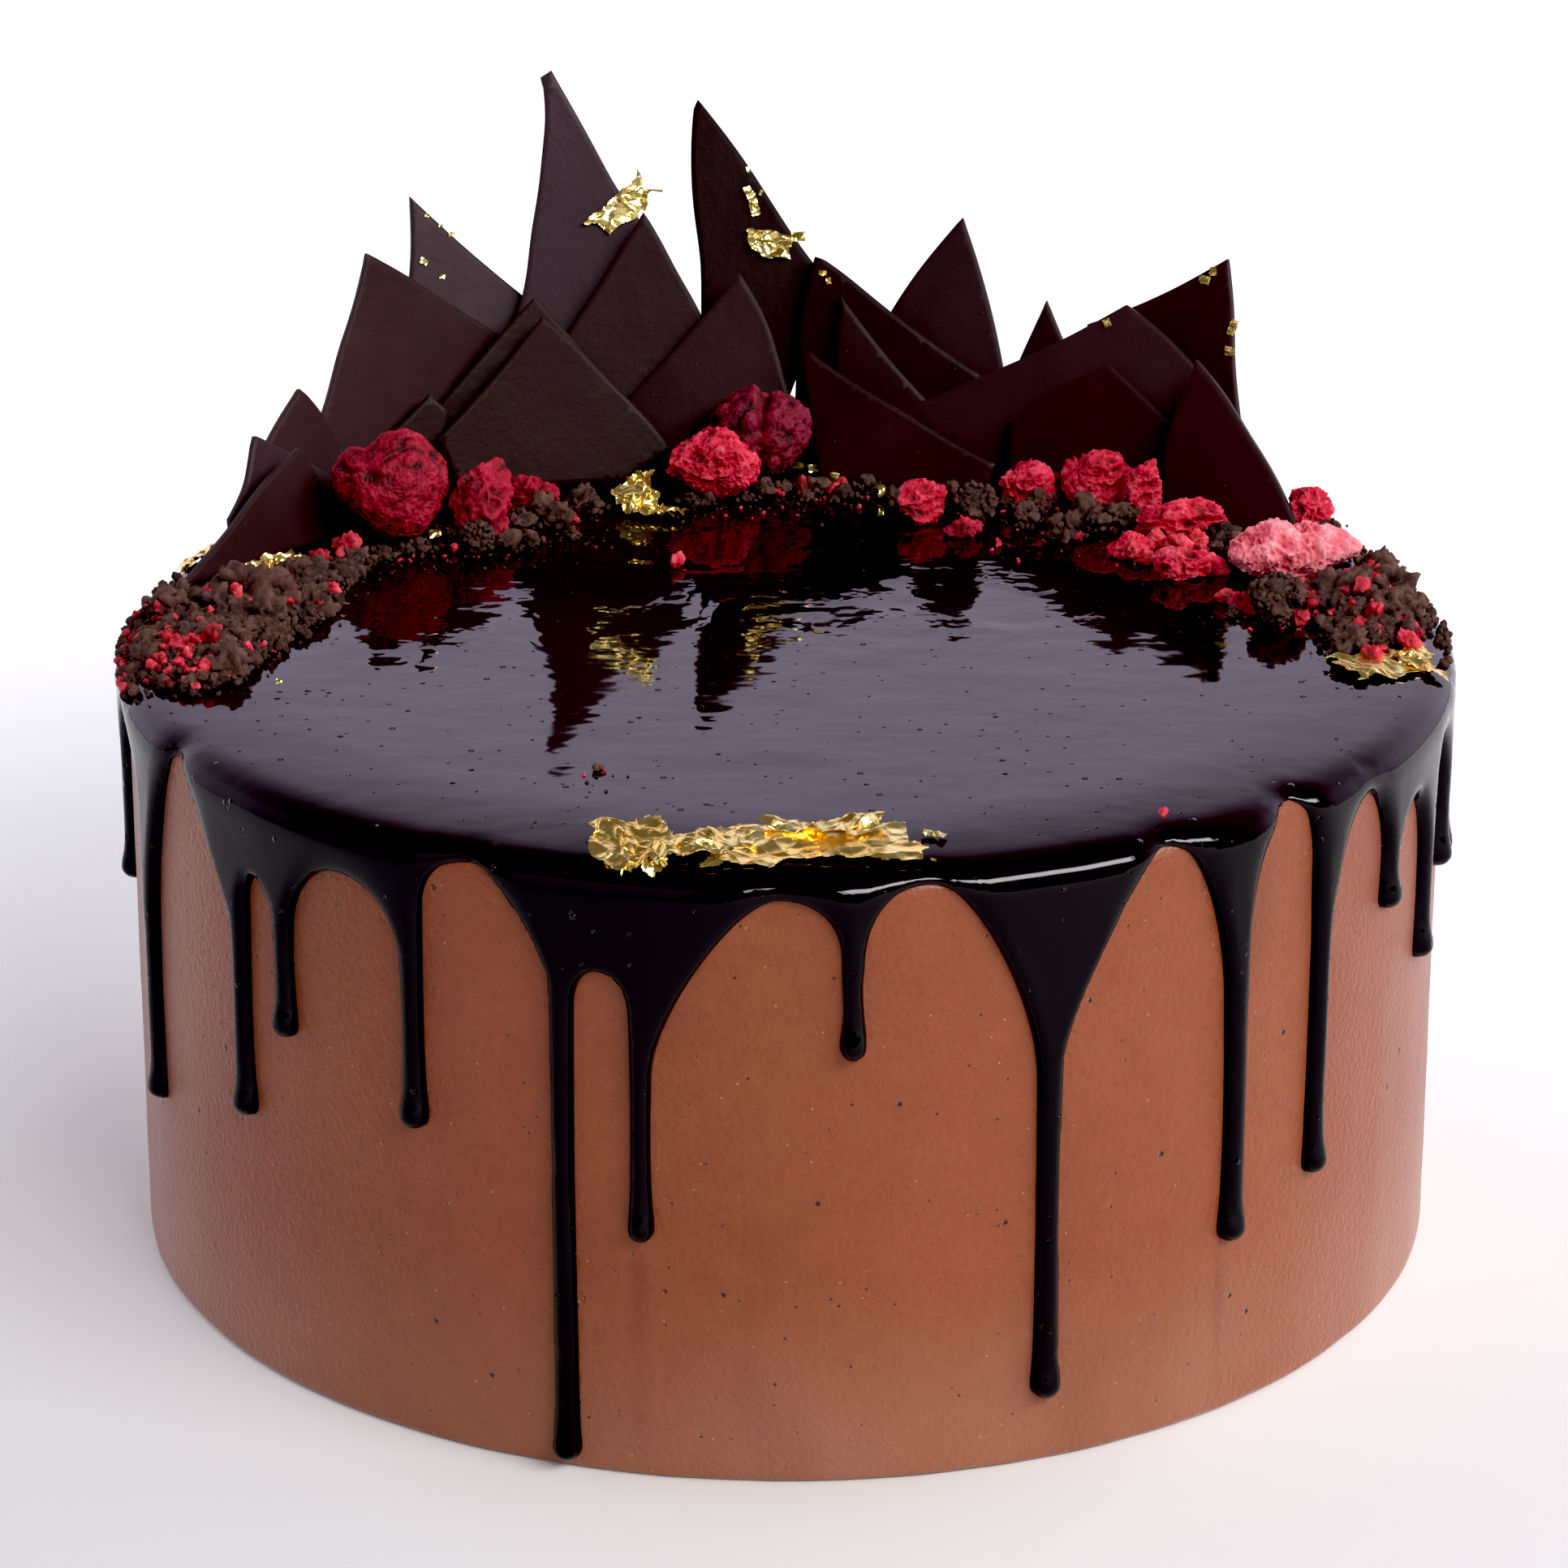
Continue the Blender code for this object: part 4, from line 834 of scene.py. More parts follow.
# the buttercream wall ----------------------------------------------------------------------------
def buttercream(mat):
    n = 850
    profile = [(0.0, 0.0), (60.0, 0.0), (97.8, 0.0)]
    for i in range(7):
        a = -math.pi / 2 + math.pi / 2 * i / 6
        profile.append((98.9 + 1.1 * math.cos(a), 1.1 + 1.1 * math.sin(a)))
    profile += [(BODY_RADIUS, z) for z in np.linspace(2.0, WALL, 96)]
    for i in range(1, 7):
        a = math.pi / 2 * i / 6
        profile.append((BODY_RADIUS - TOP_EDGE + TOP_EDGE * math.cos(a), WALL + TOP_EDGE * math.sin(a)))
    profile += [(90.0, BODY_HEIGHT), (0.0, BODY_HEIGHT)]
    profile = np.array(profile)
    ang = np.arange(n) / n * 2 * math.pi
    r, z = profile[1:-1, 0], profile[1:-1, 1]
    ring = np.stack([np.outer(r, np.cos(ang)), np.outer(r, np.sin(ang)), np.repeat(z[:, None], n, 1)], -1)
    v = ring.reshape(-1, 3)
    R = np.hypot(v[:, 0], v[:, 1])
    q = v * np.array([1, 1, 0.35])
    # soft spatula bands, fine unevenness, and a foot that tucks in a little
    dr = 0.16 * fbm(q, 26.0, 2, 41) + 0.05 * vnoise(v, 7.0, 42)
    foot = np.exp(-((v[:, 2] / 1.6) ** 2))
    dr += foot * (0.12 * fbm(v * np.array([1, 1, 0.2]), 9.0, 2, 43) - 0.10)
    # ragged crumbs of cream where the spatula left the wall, low at both sides
    turn = np.arctan2(v[:, 1], v[:, 0])
    for at, wide, low, high, lift in ((0.03, 0.05, 5.5, 11.5, 0.9), (math.pi - 0.06, 0.05, 1.0, 6.5, 0.8)):
        off = (turn - at + math.pi) % (2 * math.pi) - math.pi
        spot = np.exp(-((off / wide) ** 2)) * smoothstep(low, low + 1.2, v[:, 2]) * smoothstep(high, high - 1.2, v[:, 2])
        dr += lift * spot * np.clip(0.25 + 0.9 * vnoise(v, 1.9, 51) + 0.5 * vnoise(v, 0.9, 52), 0, 1)
    side = smoothstep(96, 99.5, R) * smoothstep(0.0, 0.6, v[:, 2] + 0.4)
    scale = 1 + dr * side / R
    v[:, 0] *= scale
    v[:, 1] *= scale
    rows = len(r)
    faces = []
    idx = np.arange(n)
    nxt = (idx + 1) % n
    for k in range(rows - 1):
        faces.append(np.stack([k * n + idx, k * n + nxt, (k + 1) * n + nxt, (k + 1) * n + idx], 1))
    faces = np.concatenate(faces).tolist()
    bottom, upper = len(v), len(v) + 1
    v = np.concatenate([v, [[0, 0, 0], [0, 0, BODY_HEIGHT]]])
    faces += [[bottom, j, i] for i, j in zip(idx.tolist(), nxt.tolist())]
    last = (rows - 1) * n
    faces += [[upper, last + i, last + j] for i, j in zip(idx.tolist(), nxt.tolist())]
    turn = np.degrees(np.arctan2(v[:, 0], -v[:, 1]))
    z = v[:, 2]
    smear = fbm(v * np.array([1, 1, 0.14]), 9.0, 3, 61, 0.6)
    # painted reflected light: the lower wall is paler, as if lit from the pale floor
    pale = 0.50 * smoothstep(34, 2, z) * (0.75 + 0.5 * fbm(v * np.array([1, 1, 0.6]), 22.0, 2, 62))
    # paler streaks at both sides, partly smears and partly painted sheen
    pale += np.clip(smear, 0, 1) * 0.42 * smoothstep(52, 74, np.abs(turn)) * smoothstep(70, 40, z)
    stains_and_painted_shade = np.zeros(len(v))
    for at, top, wide in ((38.5, 27.0, 0.9), (-11.8, 36.0, 1.3)):
        reach = np.exp(-(((turn - at) * 1.745 / wide) ** 2)) * smoothstep(top + 1, top - 3, z) * smoothstep(-6, top, z)
        stains_and_painted_shade += 0.55 * reach * (0.7 + 0.5 * fbm(v, 6.0, 2, 63))
    blot = 0.30 * smoothstep(0.35, 0.75, fbm(v * np.array([1, 1, 0.45]), 17.0, 2, 64))
    # painted shade: a broad darker band up the left front of the wall, where less light falls
    stains_and_painted_shade += 0.12 * np.exp(-(((turn + 38) / 13) ** 2))
    stains_and_painted_shade = np.clip(stains_and_painted_shade + blot, 0, 1)
    return build("buttercream", v, faces, mat, True, {"pale": np.clip(pale, 0, 0.9), "stains_and_painted_shade": stains_and_painted_shade})


# the shards --------------------------------------------------------------------------------------
def shard_frame(name):
    x, y, turn, lean = SHARDS[name][:4]
    t, l = math.radians(turn), math.radians(lean)
    across = np.array((math.cos(t), math.sin(t), 0))
    front = np.array((math.sin(t), -math.cos(t), 0))
    up = np.array((0, 0, 1)) * math.cos(l) - front * math.sin(l)
    out = front * math.cos(l) + np.array((0, 0, 1)) * math.sin(l)
    return np.array((x, y, REST)), across, up, out


def shard_bow(name, v):
    bow = SHARDS[name][4]
    return bow * (v / 40.0) ** 2 - bow * (v / 40.0)


def shard(name, mat):
    foot, across, up, out = shard_frame(name)
    corners = np.array(SHARDS[name][5], float)
    corners[corners[:, 1] < 0.5, 1] = -0.9
    seed = sum(map(ord, name))
    rng = np.random.default_rng(seed)
    outline = []
    bulges = BULGES.get(name, []) + [0.0] * len(corners)
    for (a, b), bulge in zip(zip(corners, np.roll(corners, -1, axis=0)), bulges):
        length = np.linalg.norm(b - a)
        parts = max(1, int(length / 0.8))
        nx = np.array([a[1] - b[1], b[0] - a[0]]) / length
        wave = rng.uniform(-0.2, 0.2) + bulge * 1.2
        for i in range(parts):
            t = i / parts
            p = a + (b - a) * t
            p = p + nx * wave * math.sin(math.pi * t) * min(1.0, length / 12)
            if i:
                p = p + nx * rng.normal(0, 0.022)
            outline.append(p)
    outline = np.array(outline)[::-1]
    ahead, behind = np.roll(outline, -2, axis=0) - outline, outline - np.roll(outline, 2, axis=0)
    bend = np.abs((ahead[:, 0] * behind[:, 1] - ahead[:, 1] * behind[:, 0]) / (np.linalg.norm(ahead, axis=1) * np.linalg.norm(behind, axis=1)))
    pointed = np.maximum(bend, np.maximum(np.roll(bend, 1), np.roll(bend, -1)))
    loose = 1 - smoothstep(0.42, 0.62, pointed)
    loose *= smoothstep(-0.5, 1.0, outline[:, 1])
    for _ in range(26):
        middle = (np.roll(outline, -1, axis=0) + np.roll(outline, 1, axis=0)) / 2
        outline = outline + 0.5 * loose[:, None] * (middle - outline)
    near = np.concatenate([outline, outline[:1]])
    d = np.roll(outline, -1, axis=0) - np.roll(outline, 1, axis=0)
    d /= np.linalg.norm(d, axis=1)[:, None]
    nrm = np.stack([-d[:, 1], d[:, 0]], 1)
    spots = [outline + nrm * 0.28, outline[::2] + nrm[::2] * 0.9]
    lo, hi = outline.min(0), outline.max(0)
    pitch = 1.9
    grid = []
    for i, y in enumerate(np.arange(lo[1], hi[1], pitch * 0.87)):
        xs = np.arange(lo[0] + (i % 2) * pitch / 2, hi[0], pitch)
        grid.append(np.stack([xs, np.full(len(xs), y)], 1))
    grid = np.concatenate(grid)
    need = [0.24, 0.8, 1.6]
    inner = []
    for s, least in zip(spots + [grid], need):
        s = s[inside_many(s, outline)]
        if len(s):
            reach = border_distance(s, near, 8.0)
            s = s[reach > least]
        inner.append(s)
    inner = np.concatenate([s for s in inner if len(s)])
    flat, tris = triangulate(outline, inner)
    depth = border_distance(flat, near, 8.0)
    half = SHARD_THICK / 2
    # the broken edge is rounded over a quarter of a millimetre
    thin = half - 0.20 * (1 - np.sqrt(np.clip(1 - np.clip(1 - depth / 0.28, 0, 1) ** 2, 0, 1)))
    p3 = np.concatenate([flat, np.full((len(flat), 1), seed % 97)], 1)
    warp = 0.16 * vnoise(p3, 22.0, seed) + 0.05 * vnoise(p3, 8.0, seed + 1)
    middle = foot + np.outer(flat[:, 0], across) + np.outer(flat[:, 1], up) + np.outer(shard_bow(name, flat[:, 1]) + warp, out)
    skin = 0.018 * vnoise(p3, 3.0, seed + 2)
    front = middle + np.outer(thin + skin, out)
    back = middle - np.outer(thin, out)
    n = len(flat)
    faces = tris.tolist() + (tris[:, ::-1] + n).tolist()
    for a, b in rim_edges(tris):
        faces.append([b, a, a + n, b + n])
    # painted shade and painted bluish sheen of this shard
    shade, painted_blue_sheen = SHADES.get(name, (0.45, 0.0))
    total = 2 * n
    streaky = 0.16 * fbm(np.concatenate([p3 * np.array([1, 0.5, 1])] * 2), 9.0, 2, seed + 5)
    ob = build(name, np.concatenate([front, back]), faces, mat, True, {"shade": np.clip(shade + streaky, 0, 1), "painted_blue_sheen": np.full(total, painted_blue_sheen)})
    ob.data.set_sharp_from_angle(angle=math.radians(50))
    return ob


# berries -----------------------------------------------------------------------------------------
def spiral(count, jitter, rng):
    golden = math.pi * (3 - math.sqrt(5))
    i = np.arange(count)
    z = 1 - 2 * (i + 0.5) / count
    r = np.sqrt(1 - z * z)
    s = np.stack([r * np.cos(golden * i), r * np.sin(golden * i), z], 1) + rng.normal(0, jitter, (count, 3))
    return s / np.linalg.norm(s, axis=1)[:, None]


def two_nearest(v, seeds):
    d = np.sqrt(np.maximum(2 - 2 * v @ seeds.T, 0))
    part = np.partition(d, 1, axis=1)
    return part[:, 0], part[:, 1], d.argmin(1)


def fibrous(q, size, seed, warp=0.7):
    """Bent ridges and hollows, from -1 to 1: the skin of a freeze-dried berry."""
    bend = np.stack([vnoise(q, size * 1.7, seed + 91), vnoise(q, size * 1.7, seed + 92), vnoise(q, size * 1.7, seed + 93)], 1)
    w = q + bend * size * warp
    return 0.62 * (1 - 3.0 * np.abs(vnoise(w, size, seed))) + 0.38 * (1 - 3.0 * np.abs(vnoise(w, size * 0.48, seed + 5)))


def berry(name, mat):
    x, y, rx, ry, rz, turn, tilt, count, cleft = BERRIES[name]
    rng = np.random.default_rng(sum(map(ord, name)))
    v, f = sphere(7)
    seeds = spiral(count, 0.07, rng)
    f1, f2, cell = two_nearest(v, seeds)
    space = math.sqrt(4 * math.pi / count)
    crease = smoothstep(0.0, 0.60, (f2 - f1) / space)
    dome = np.sqrt(np.clip(1 - (f1 / (0.85 * space)) ** 2, 0, 1))
    height = rng.uniform(-0.5, 0.5, count)[cell]
    hx, hy, hz = v[:, 0], v[:, 1], v[:, 2]
    p = v * np.array([rx, ry, rz])
    drupe, skin, fine = 0.42, 0.34, 0.13
    if name == "berry_heart":
        p[:, 0] *= 1.08 - 0.42 * smoothstep(0.25, -1.05, hz)
        p[:, 0] += 0.26 * rx * smoothstep(0.1, -1.0, hz)
        p[:, 2] += rz * (0.12 * hx - 0.20 * np.exp(-(((hx + 0.42) / 0.20) ** 2)) + 0.02) * smoothstep(0.15, 0.95, hz)
        drupe, skin, fine = 0.24, 0.16, 0.17
    elif name == "berry_folded":
        groove = np.exp(-(((hx - 0.10 - 0.10 * hz) / 0.15) ** 2)) * smoothstep(0.15, -0.6, hy)
        notch = np.exp(-(((hx - 0.22) / 0.17) ** 2)) * smoothstep(0.45, 1.0, hz)
        p *= (1 - 0.20 * groove - 0.22 * notch)[:, None]
        p[:, 0] *= 1.06 - 0.36 * smoothstep(0.2, -1.05, hz)
        drupe, skin, fine = 0.62, 0.30, 0.12
    elif name == "berry_bright":
        p[:, 2] *= 1 - 0.26 * smoothstep(0.0, -1.0, hx)
        p[:, 0] *= 1 + 0.10 * smoothstep(-0.5, -1.0, hx)
        p[:, 2] += rz * (0.10 * np.exp(-(((hx + 0.20) / 0.42) ** 2)) - 0.22 * smoothstep(0.2, 1.0, hx)) * smoothstep(-0.1, 0.9, hz)
        p[:, 0] *= 1.06
        p *= (1 + 0.16 * vnoise(v, 0.75, 5))[:, None]
        drupe, skin, fine = 0.20, 0.50, 0.20
    else:
        p[:, 2] += rz * (0.20 * np.exp(-(((hx + 0.45) / 0.36) ** 2)) - 0.26 * np.exp(-(((hx - 0.02) / 0.12) ** 2))) * smoothstep(0.0, 0.9, hz)
        p *= (1 + 0.10 * vnoise(v, 0.7, 8))[:, None]
        drupe, skin, fine = 0.14, 0.46, 0.22
    q = p if name != "berry_long_pink" else p * np.array([1.15, 1.0, 0.62])
    ridges = fibrous(q, 1.9, 9)
    wrinkle = fbm(q, 3.6, 2, 19, 0.6)
    small = fibrous(q, 0.62, 33)
    grow = drupe * (crease * 0.7 + dome * 0.6 - 0.8) + 0.5 * drupe * height * crease + skin * ridges + 0.45 * wrinkle + fine * small
    p += v * grow[:, None]
    spin = np.array(Matrix.Rotation(math.radians(turn), 3, "Z") @ Matrix.Rotation(math.radians(tilt * 0.35), 3, "Y"))
    p = p @ spin.T
    p += np.array([x, y, REST - p[:, 2].min() - (1.3 if name == "berry_long_pink" else 0.45)])
    # relief value: low in creases, high on drupelets and ridges, for the painted shade and highlight
    high = np.clip(0.42 + 0.30 * drupe * (crease + dome - 1.2) + 0.55 * drupe * height + 0.24 * ridges + 0.22 * wrinkle + 0.10 * small, 0, 1)
    return build(name, p, f, mat, True, {"high": high})


def chunk_shape(v, seed, flat=0.45):
    """Broken lump: soft facets with hollows between them, about one unit in radius."""
    rng = np.random.default_rng(seed)
    normals = rng.normal(size=(11, 3))
    normals /= np.linalg.norm(normals, axis=1)[:, None]
    reach = rng.uniform(0.70, 1.05, 11)
    cut = (np.maximum(v @ normals.T, 0.05) / reach) ** 9
    r = cut.sum(1) ** (-1 / 9)
    r = np.clip(r, 0.5, 1.25)
    lobes = rng.normal(size=(7, 3))
    lobes /= np.linalg.norm(lobes, axis=1)[:, None]
    sizes = rng.uniform(-0.26, 0.20, 7)
    r = r * (1 + (np.exp(-((v[:, None, :] - lobes[None]) ** 2).sum(2) / 0.28) * sizes).sum(1))
    return r


def broken_piece(name, mat):
    x, y, rx, ry, rz, turn = PIECES[name]
    seed = sum(map(ord, name)) * 7
    v, f = sphere(6)
    p = v * np.array([rx, ry, rz]) * (chunk_shape(v, seed) * 1.06)[:, None]
    size = (rx * ry * rz) ** (1 / 3)
    k = min(1.0, size / 3.2)
    ridges = fibrous(p, 1.7 * k + 0.2, seed)
    wrinkle = fbm(p, 2.6, 2, seed + 3, 0.6)
    small = fibrous(p, 0.55, seed + 7)
    p = p + v * (k * (0.52 * ridges + 0.45 * wrinkle) + 0.16 * small)[:, None]
    spin = np.array(Matrix.Rotation(math.radians(turn), 3, "Z"))
    p = p @ spin.T
    floor = np.percentile(p[:, 2], 5)
    p[:, 2] = np.maximum(p[:, 2], floor + 0.03 * (p[:, 2] - floor))
    p += np.array([x, y, REST - 0.75 - floor])
    # relief value: low in hollows, high on ridges, for the painted shade and highlight
    high = np.clip(0.46 + 0.26 * ridges + 0.28 * wrinkle + 0.12 * small, 0, 1)
    return build(name, p, f, mat, True, {"high": high})


# crumbs ------------------------------------------------------------------------------------------
def crumb_shapes(level, count, seed, rough):
    v, f = sphere(level)
    rng = np.random.default_rng(seed)
    shapes = []
    for k in range(count):
        w = v + k * 13.7
        n = 0.55 * vnoise(w, 0.95, seed + k) + 0.42 * vnoise(w, 0.45, seed + k + 50)
        if level > 2:
            n = n + 0.38 * vnoise(w, 0.25, seed + k + 90)
        shapes.append(v * np.maximum(1 + rough * n, 0.3)[:, None] * rng.uniform(0.72, 1.2, 3))
    return shapes, f


def chip_shapes(level, count, seed):
    v, f = sphere(level)
    rng = np.random.default_rng(seed)
    shapes = []
    for k in range(count):
        w = v + k * 5.1
        r = chunk_shape(v, seed + k) * (1 + 0.26 * fibrous(w, 0.75, seed + k) + 0.16 * vnoise(w, 0.22, seed + k))
        shapes.append(v * r[:, None] * rng.uniform(0.65, 1.2, 3))
    return shapes, f


GRAINS = {}
KINDS = {"small": (2, 16, 100, 0.62), "grain": (3, 16, 200, 0.80), "clump": (4, 12, 400, 1.0)}


def grains(kind):
    if kind not in GRAINS:
        GRAINS[kind] = chip_shapes(3, 12, 300) if kind == "chip" else chip_shapes(4, 8, 350) if kind == "flake" else crumb_shapes(*KINDS[kind])
    return GRAINS[kind]


def joined(places, seed):
    """places: rows of x, y, z, radius, kind. One mesh of many grains."""
    rng = np.random.default_rng(seed)
    verts, faces, tone_and_painted_relief_light, at = [], [], [], 0
    for x, y, z, radius, kind in places:
        shapes, f = grains(kind)
        s = shapes[rng.integers(len(shapes))]
        verts.append((s * radius) @ rotation(rng).T + (x, y, z))
        faces.append(f + at)
        # random tone per grain, plus painted light and shade: lighter on the bumps, darker in the hollows
        tone_and_painted_relief_light.append(np.clip(rng.uniform(0.15, 0.85) + 0.9 * (np.linalg.norm(s, axis=1) - 1.0), 0, 1))
        at += len(s)
    return np.concatenate(verts), np.concatenate(faces), np.concatenate(tone_and_painted_relief_light)


def heap_height(xy, corners, height):
    near = np.array(corners + corners[:1], float)
    d = border_distance(xy, near, 30.0)
    d = np.where(inside_many(xy, corners), d, 0.0)
    p = np.concatenate([xy, np.zeros((len(xy), 1))], 1)
    swell = 0.62 + 0.55 * vnoise(p, 11.0, 61)
    return height * (1 - np.exp(-d / 4.0)) * np.clip(swell, 0.15, 1.1), d


def heap_core(name, mat):
    corners, height = HEAPS[name]
    loop = np.array(corners, float)
    outline = resampled(np.concatenate([loop, loop[:1]]), 0.9)[:-1]
    area = 0.5 * np.sum(outline[:, 0] * np.roll(outline[:, 1], -1) - outline[:, 1] * np.roll(outline[:, 0], -1))
    if area < 0:
        outline = outline[::-1]
    lo, hi = outline.min(0), outline.max(0)
    pitch = 0.55
    xs, ys = np.meshgrid(np.arange(lo[0], hi[0], pitch), np.arange(lo[1], hi[1], pitch))
    spots = np.stack([xs.ravel(), ys.ravel()], 1)
    rng = np.random.default_rng(5)
    spots += rng.uniform(-0.12, 0.12, spots.shape)
    spots = spots[inside_many(spots, outline)]
    near = np.concatenate([outline, outline[:1]])
    spots = spots[border_distance(spots, near, 4.0) > 0.4]
    flat, tris = triangulate(outline, spots)
    h, d = heap_height(flat, corners, height * 0.34)
    p = np.concatenate([flat, np.zeros((len(flat), 1))], 1)
    lumps = 0.7 * fbm(p, 2.4, 2, 71, 0.6) + 0.35 * vnoise(p, 0.9, 72)
    edge = smoothstep(0.8, 3.2, d)
    z = glaze_z(flat[:, 0], flat[:, 1]) + (h + lumps) * edge - 0.6 * (1 - edge)
    return np.concatenate([flat, z[:, None]], 1), tris


def scattered(corners, count, seed, spill=1.8):
    """Random spots over a heap's plan, with a few just outside it."""
    rng = np.random.default_rng(seed)
    lo, hi = np.min(corners, 0), np.max(corners, 0)
    pts = rng.uniform(lo - spill, hi + spill, (count * 5, 2))
    near = np.array(corners + corners[:1], float)
    d = border_distance(pts, near, 30.0)
    ins = inside_many(pts, corners)
    keep = np.where(ins, True, (d < spill) & (rng.random(len(pts)) < 0.45 * np.exp(-d / (0.5 * spill))))
    keep &= np.hypot(pts[:, 0], pts[:, 1]) < 100.6
    return pts[keep][:count], rng


def heap_rows(name, kind, count, sizes, seed, lift=0.5, level=0.75, where=None):
    corners, height = HEAPS[name]
    pts, rng = scattered(corners, count, seed)
    h, d = heap_height(pts, corners, height * level)
    base = glaze_z(pts[:, 0], pts[:, 1])
    rows = []
    for (x, y), hh, dd, zz in zip(pts, h, d, base):
        if kind == "clump" and dd < 1.6:
            continue
        if where is not None and rng.random() > where(x, y):
            continue
        size = float(rng.uniform(*sizes) ** 1.0 * (0.75 + 0.5 * rng.random() ** 2))
        rows.append((x, y, zz + hh * min(1.0, dd / 2.0) + size * lift, size, kind))
    return rows


# gold leaf ---------------------------------------------------------------------------------------
def foil(name, mat, centre, across, along, out, half_u, half_v, height, seed, nu=60, nv=22, ragged=0.28, fold=0.35, drape=None):
    rng = np.random.default_rng(seed)
    u = np.linspace(-1.05, 1.05, nu)
    v = np.linspace(-1.05, 1.05, nv)
    uu, vv = np.meshgrid(u, v, indexing="ij")
    p = np.stack([uu.ravel() * half_u, vv.ravel() * half_v, np.full(uu.size, seed * 1.0)], 1)
    def fold_wave(direction, period, shift):
        t = (p[:, 0] * math.cos(direction) + p[:, 1] * math.sin(direction)) / period + shift
        return 4 * np.abs(t - np.floor(t) - 0.5) - 1

    h = np.zeros(len(p))
    bend = p.copy()
    bend[:, :2] += 0.9 * np.stack([vnoise(p, 3.5, seed + 7), vnoise(p, 3.5, seed + 8)], 1)
    flat_p = p
    p = bend
    for k, (share, size) in enumerate(((0.40, 1.0), (0.28, 0.52), (0.22, 0.30), (0.14, 0.18))):
        period = (1.1 * (half_u + half_v)) * size * rng.uniform(0.8, 1.25)
        h += share * fold_wave(rng.uniform(0, math.pi), max(period, 1.1), rng.random())
    p = flat_p
    h = height * (0.50 + 0.42 * h + 0.06 * vnoise(p, 1.6, seed + 1))
    q = p[:, :2].copy()
    q[:, 0] += fold * 1.3 * vnoise(p, 2.6, seed + 3)
    q[:, 1] += fold * 1.5 * vnoise(p, 2.2, seed + 4)
    edge = 1 - np.maximum(np.abs(p[:, 0]) / half_u, np.abs(p[:, 1]) / half_v)
    torn = edge + ragged * (0.55 * vnoise(p, 3.4, seed + 5) + 0.45 * vnoise(p, 1.5, seed + 6)) - 0.10
    torn = torn.reshape(uu.shape)
    verts = np.asarray(centre) + np.outer(q[:, 0], across) + np.outer(q[:, 1], along) + np.outer(np.maximum(h, 0.08), out)
    if drape is not None:
        verts = drape(verts, np.maximum(h, 0.08))
    faces = []
    for i in range(nu - 1):
        for j in range(nv - 1):
            if min(torn[i, j], torn[i + 1, j], torn[i, j + 1], torn[i + 1, j + 1]) < 0:
                continue
            a, b, c, d = i * nv + j, (i + 1) * nv + j, (i + 1) * nv + j + 1, i * nv + j + 1
            faces += [[a, b, c], [a, c, d]] if (i + j) % 2 else [[a, b, d], [b, c, d]]
    used = sorted({k for f in faces for k in f})
    back = {k: i for i, k in enumerate(used)}
    return verts[used], [[back[k] for k in f] for f in faces]


def drape_on_cake(verts, h):
    out = verts.copy()
    out[:, 2] = glaze_z(verts[:, 0], verts[:, 1]) + h
    return out


def foil_object(name, parts, mat):
    verts, faces, at = [], [], 0
    for v, f in parts:
        verts.append(v)
        faces += [[k + at for k in face] for face in f]
        at += len(v)
    ob = build(name, np.concatenate(verts), faces, mat, smooth=False)
    solid = ob.modifiers.new("thickness", "SOLIDIFY")
    solid.thickness = 0.00006
    solid.offset = 0
    return ob


# build everything --------------------------------------------------------------------------------
cream = buttercream_material()
glaze_mat = glaze_material()
choc = chocolate_material()
crimson = berry_material("dried_berry_crimson", (0.070, 0.0040, 0.0090), (0.340, 0.0075, 0.0290), (0.490, 0.0200, 0.0600), (0.64, 0.100, 0.150), 0.36)
deep = berry_material("dried_berry_deep", (0.040, 0.0040, 0.0090), (0.190, 0.0080, 0.0270), (0.330, 0.0220, 0.0620), (0.48, 0.085, 0.140), 0.36)
bright = berry_material("dried_berry_bright", (0.140, 0.0050, 0.0110), (0.660, 0.0140, 0.0520), (0.840, 0.0750, 0.1300), (0.94, 0.36, 0.42), 0.55)
pink = berry_material("dried_berry_pink", (0.520, 0.0400, 0.0750), (0.960, 0.2050, 0.2650), (0.990, 0.4000, 0.4400), (1.0, 0.72, 0.72), 0.65)
bits = berry_material("dried_berry_bits", (0.150, 0.0100, 0.0160), (0.560, 0.0200, 0.0450), (0.800, 0.0700, 0.1050), (0.92, 0.32, 0.35), 0.45)
crumb = crumb_material()
gold = gold_material()

place(buttercream(cream), "buttercream", "cake_body")
glaze, _ = mirror_glaze(glaze_mat)
place(glaze, "mirror_glaze", "ganache_glaze")
for key in SHARDS:
    place(shard(key, choc), "dark_chocolate", key)
for key in BERRIES:
    place(berry(key, {"berry_heart": crimson, "berry_folded": deep, "berry_bright": bright, "berry_long_pink": pink}[key]), "dried_berry", key)
for key in PIECES:
    place(broken_piece(key, crimson if key.endswith(("_1", "_4", "_2")) else bright), "dried_berry", key)

def red_left(x, y):
    """Red granules lie along the rim, at the front and at the foot of the shard on the left heap."""
    out = math.hypot(x, y)
    front = math.exp(-((x + 91) ** 2 + (y + 22) ** 2) / 90)
    foot = math.exp(-((x + 86) ** 2 + (y - 12) ** 2) / 50)
    return min(1.0, 0.04 + 0.5 * max(0.0, (out - 90) / 8) + 0.8 * front + 0.8 * foot)


def red_right(x, y):
    return 0.16 + 0.5 * math.exp(-((x - 84) ** 2 + (y - 16) ** 2) / 60) + 0.5 * math.exp(-((x - 87) ** 2 + (y + 7) ** 2) / 10)


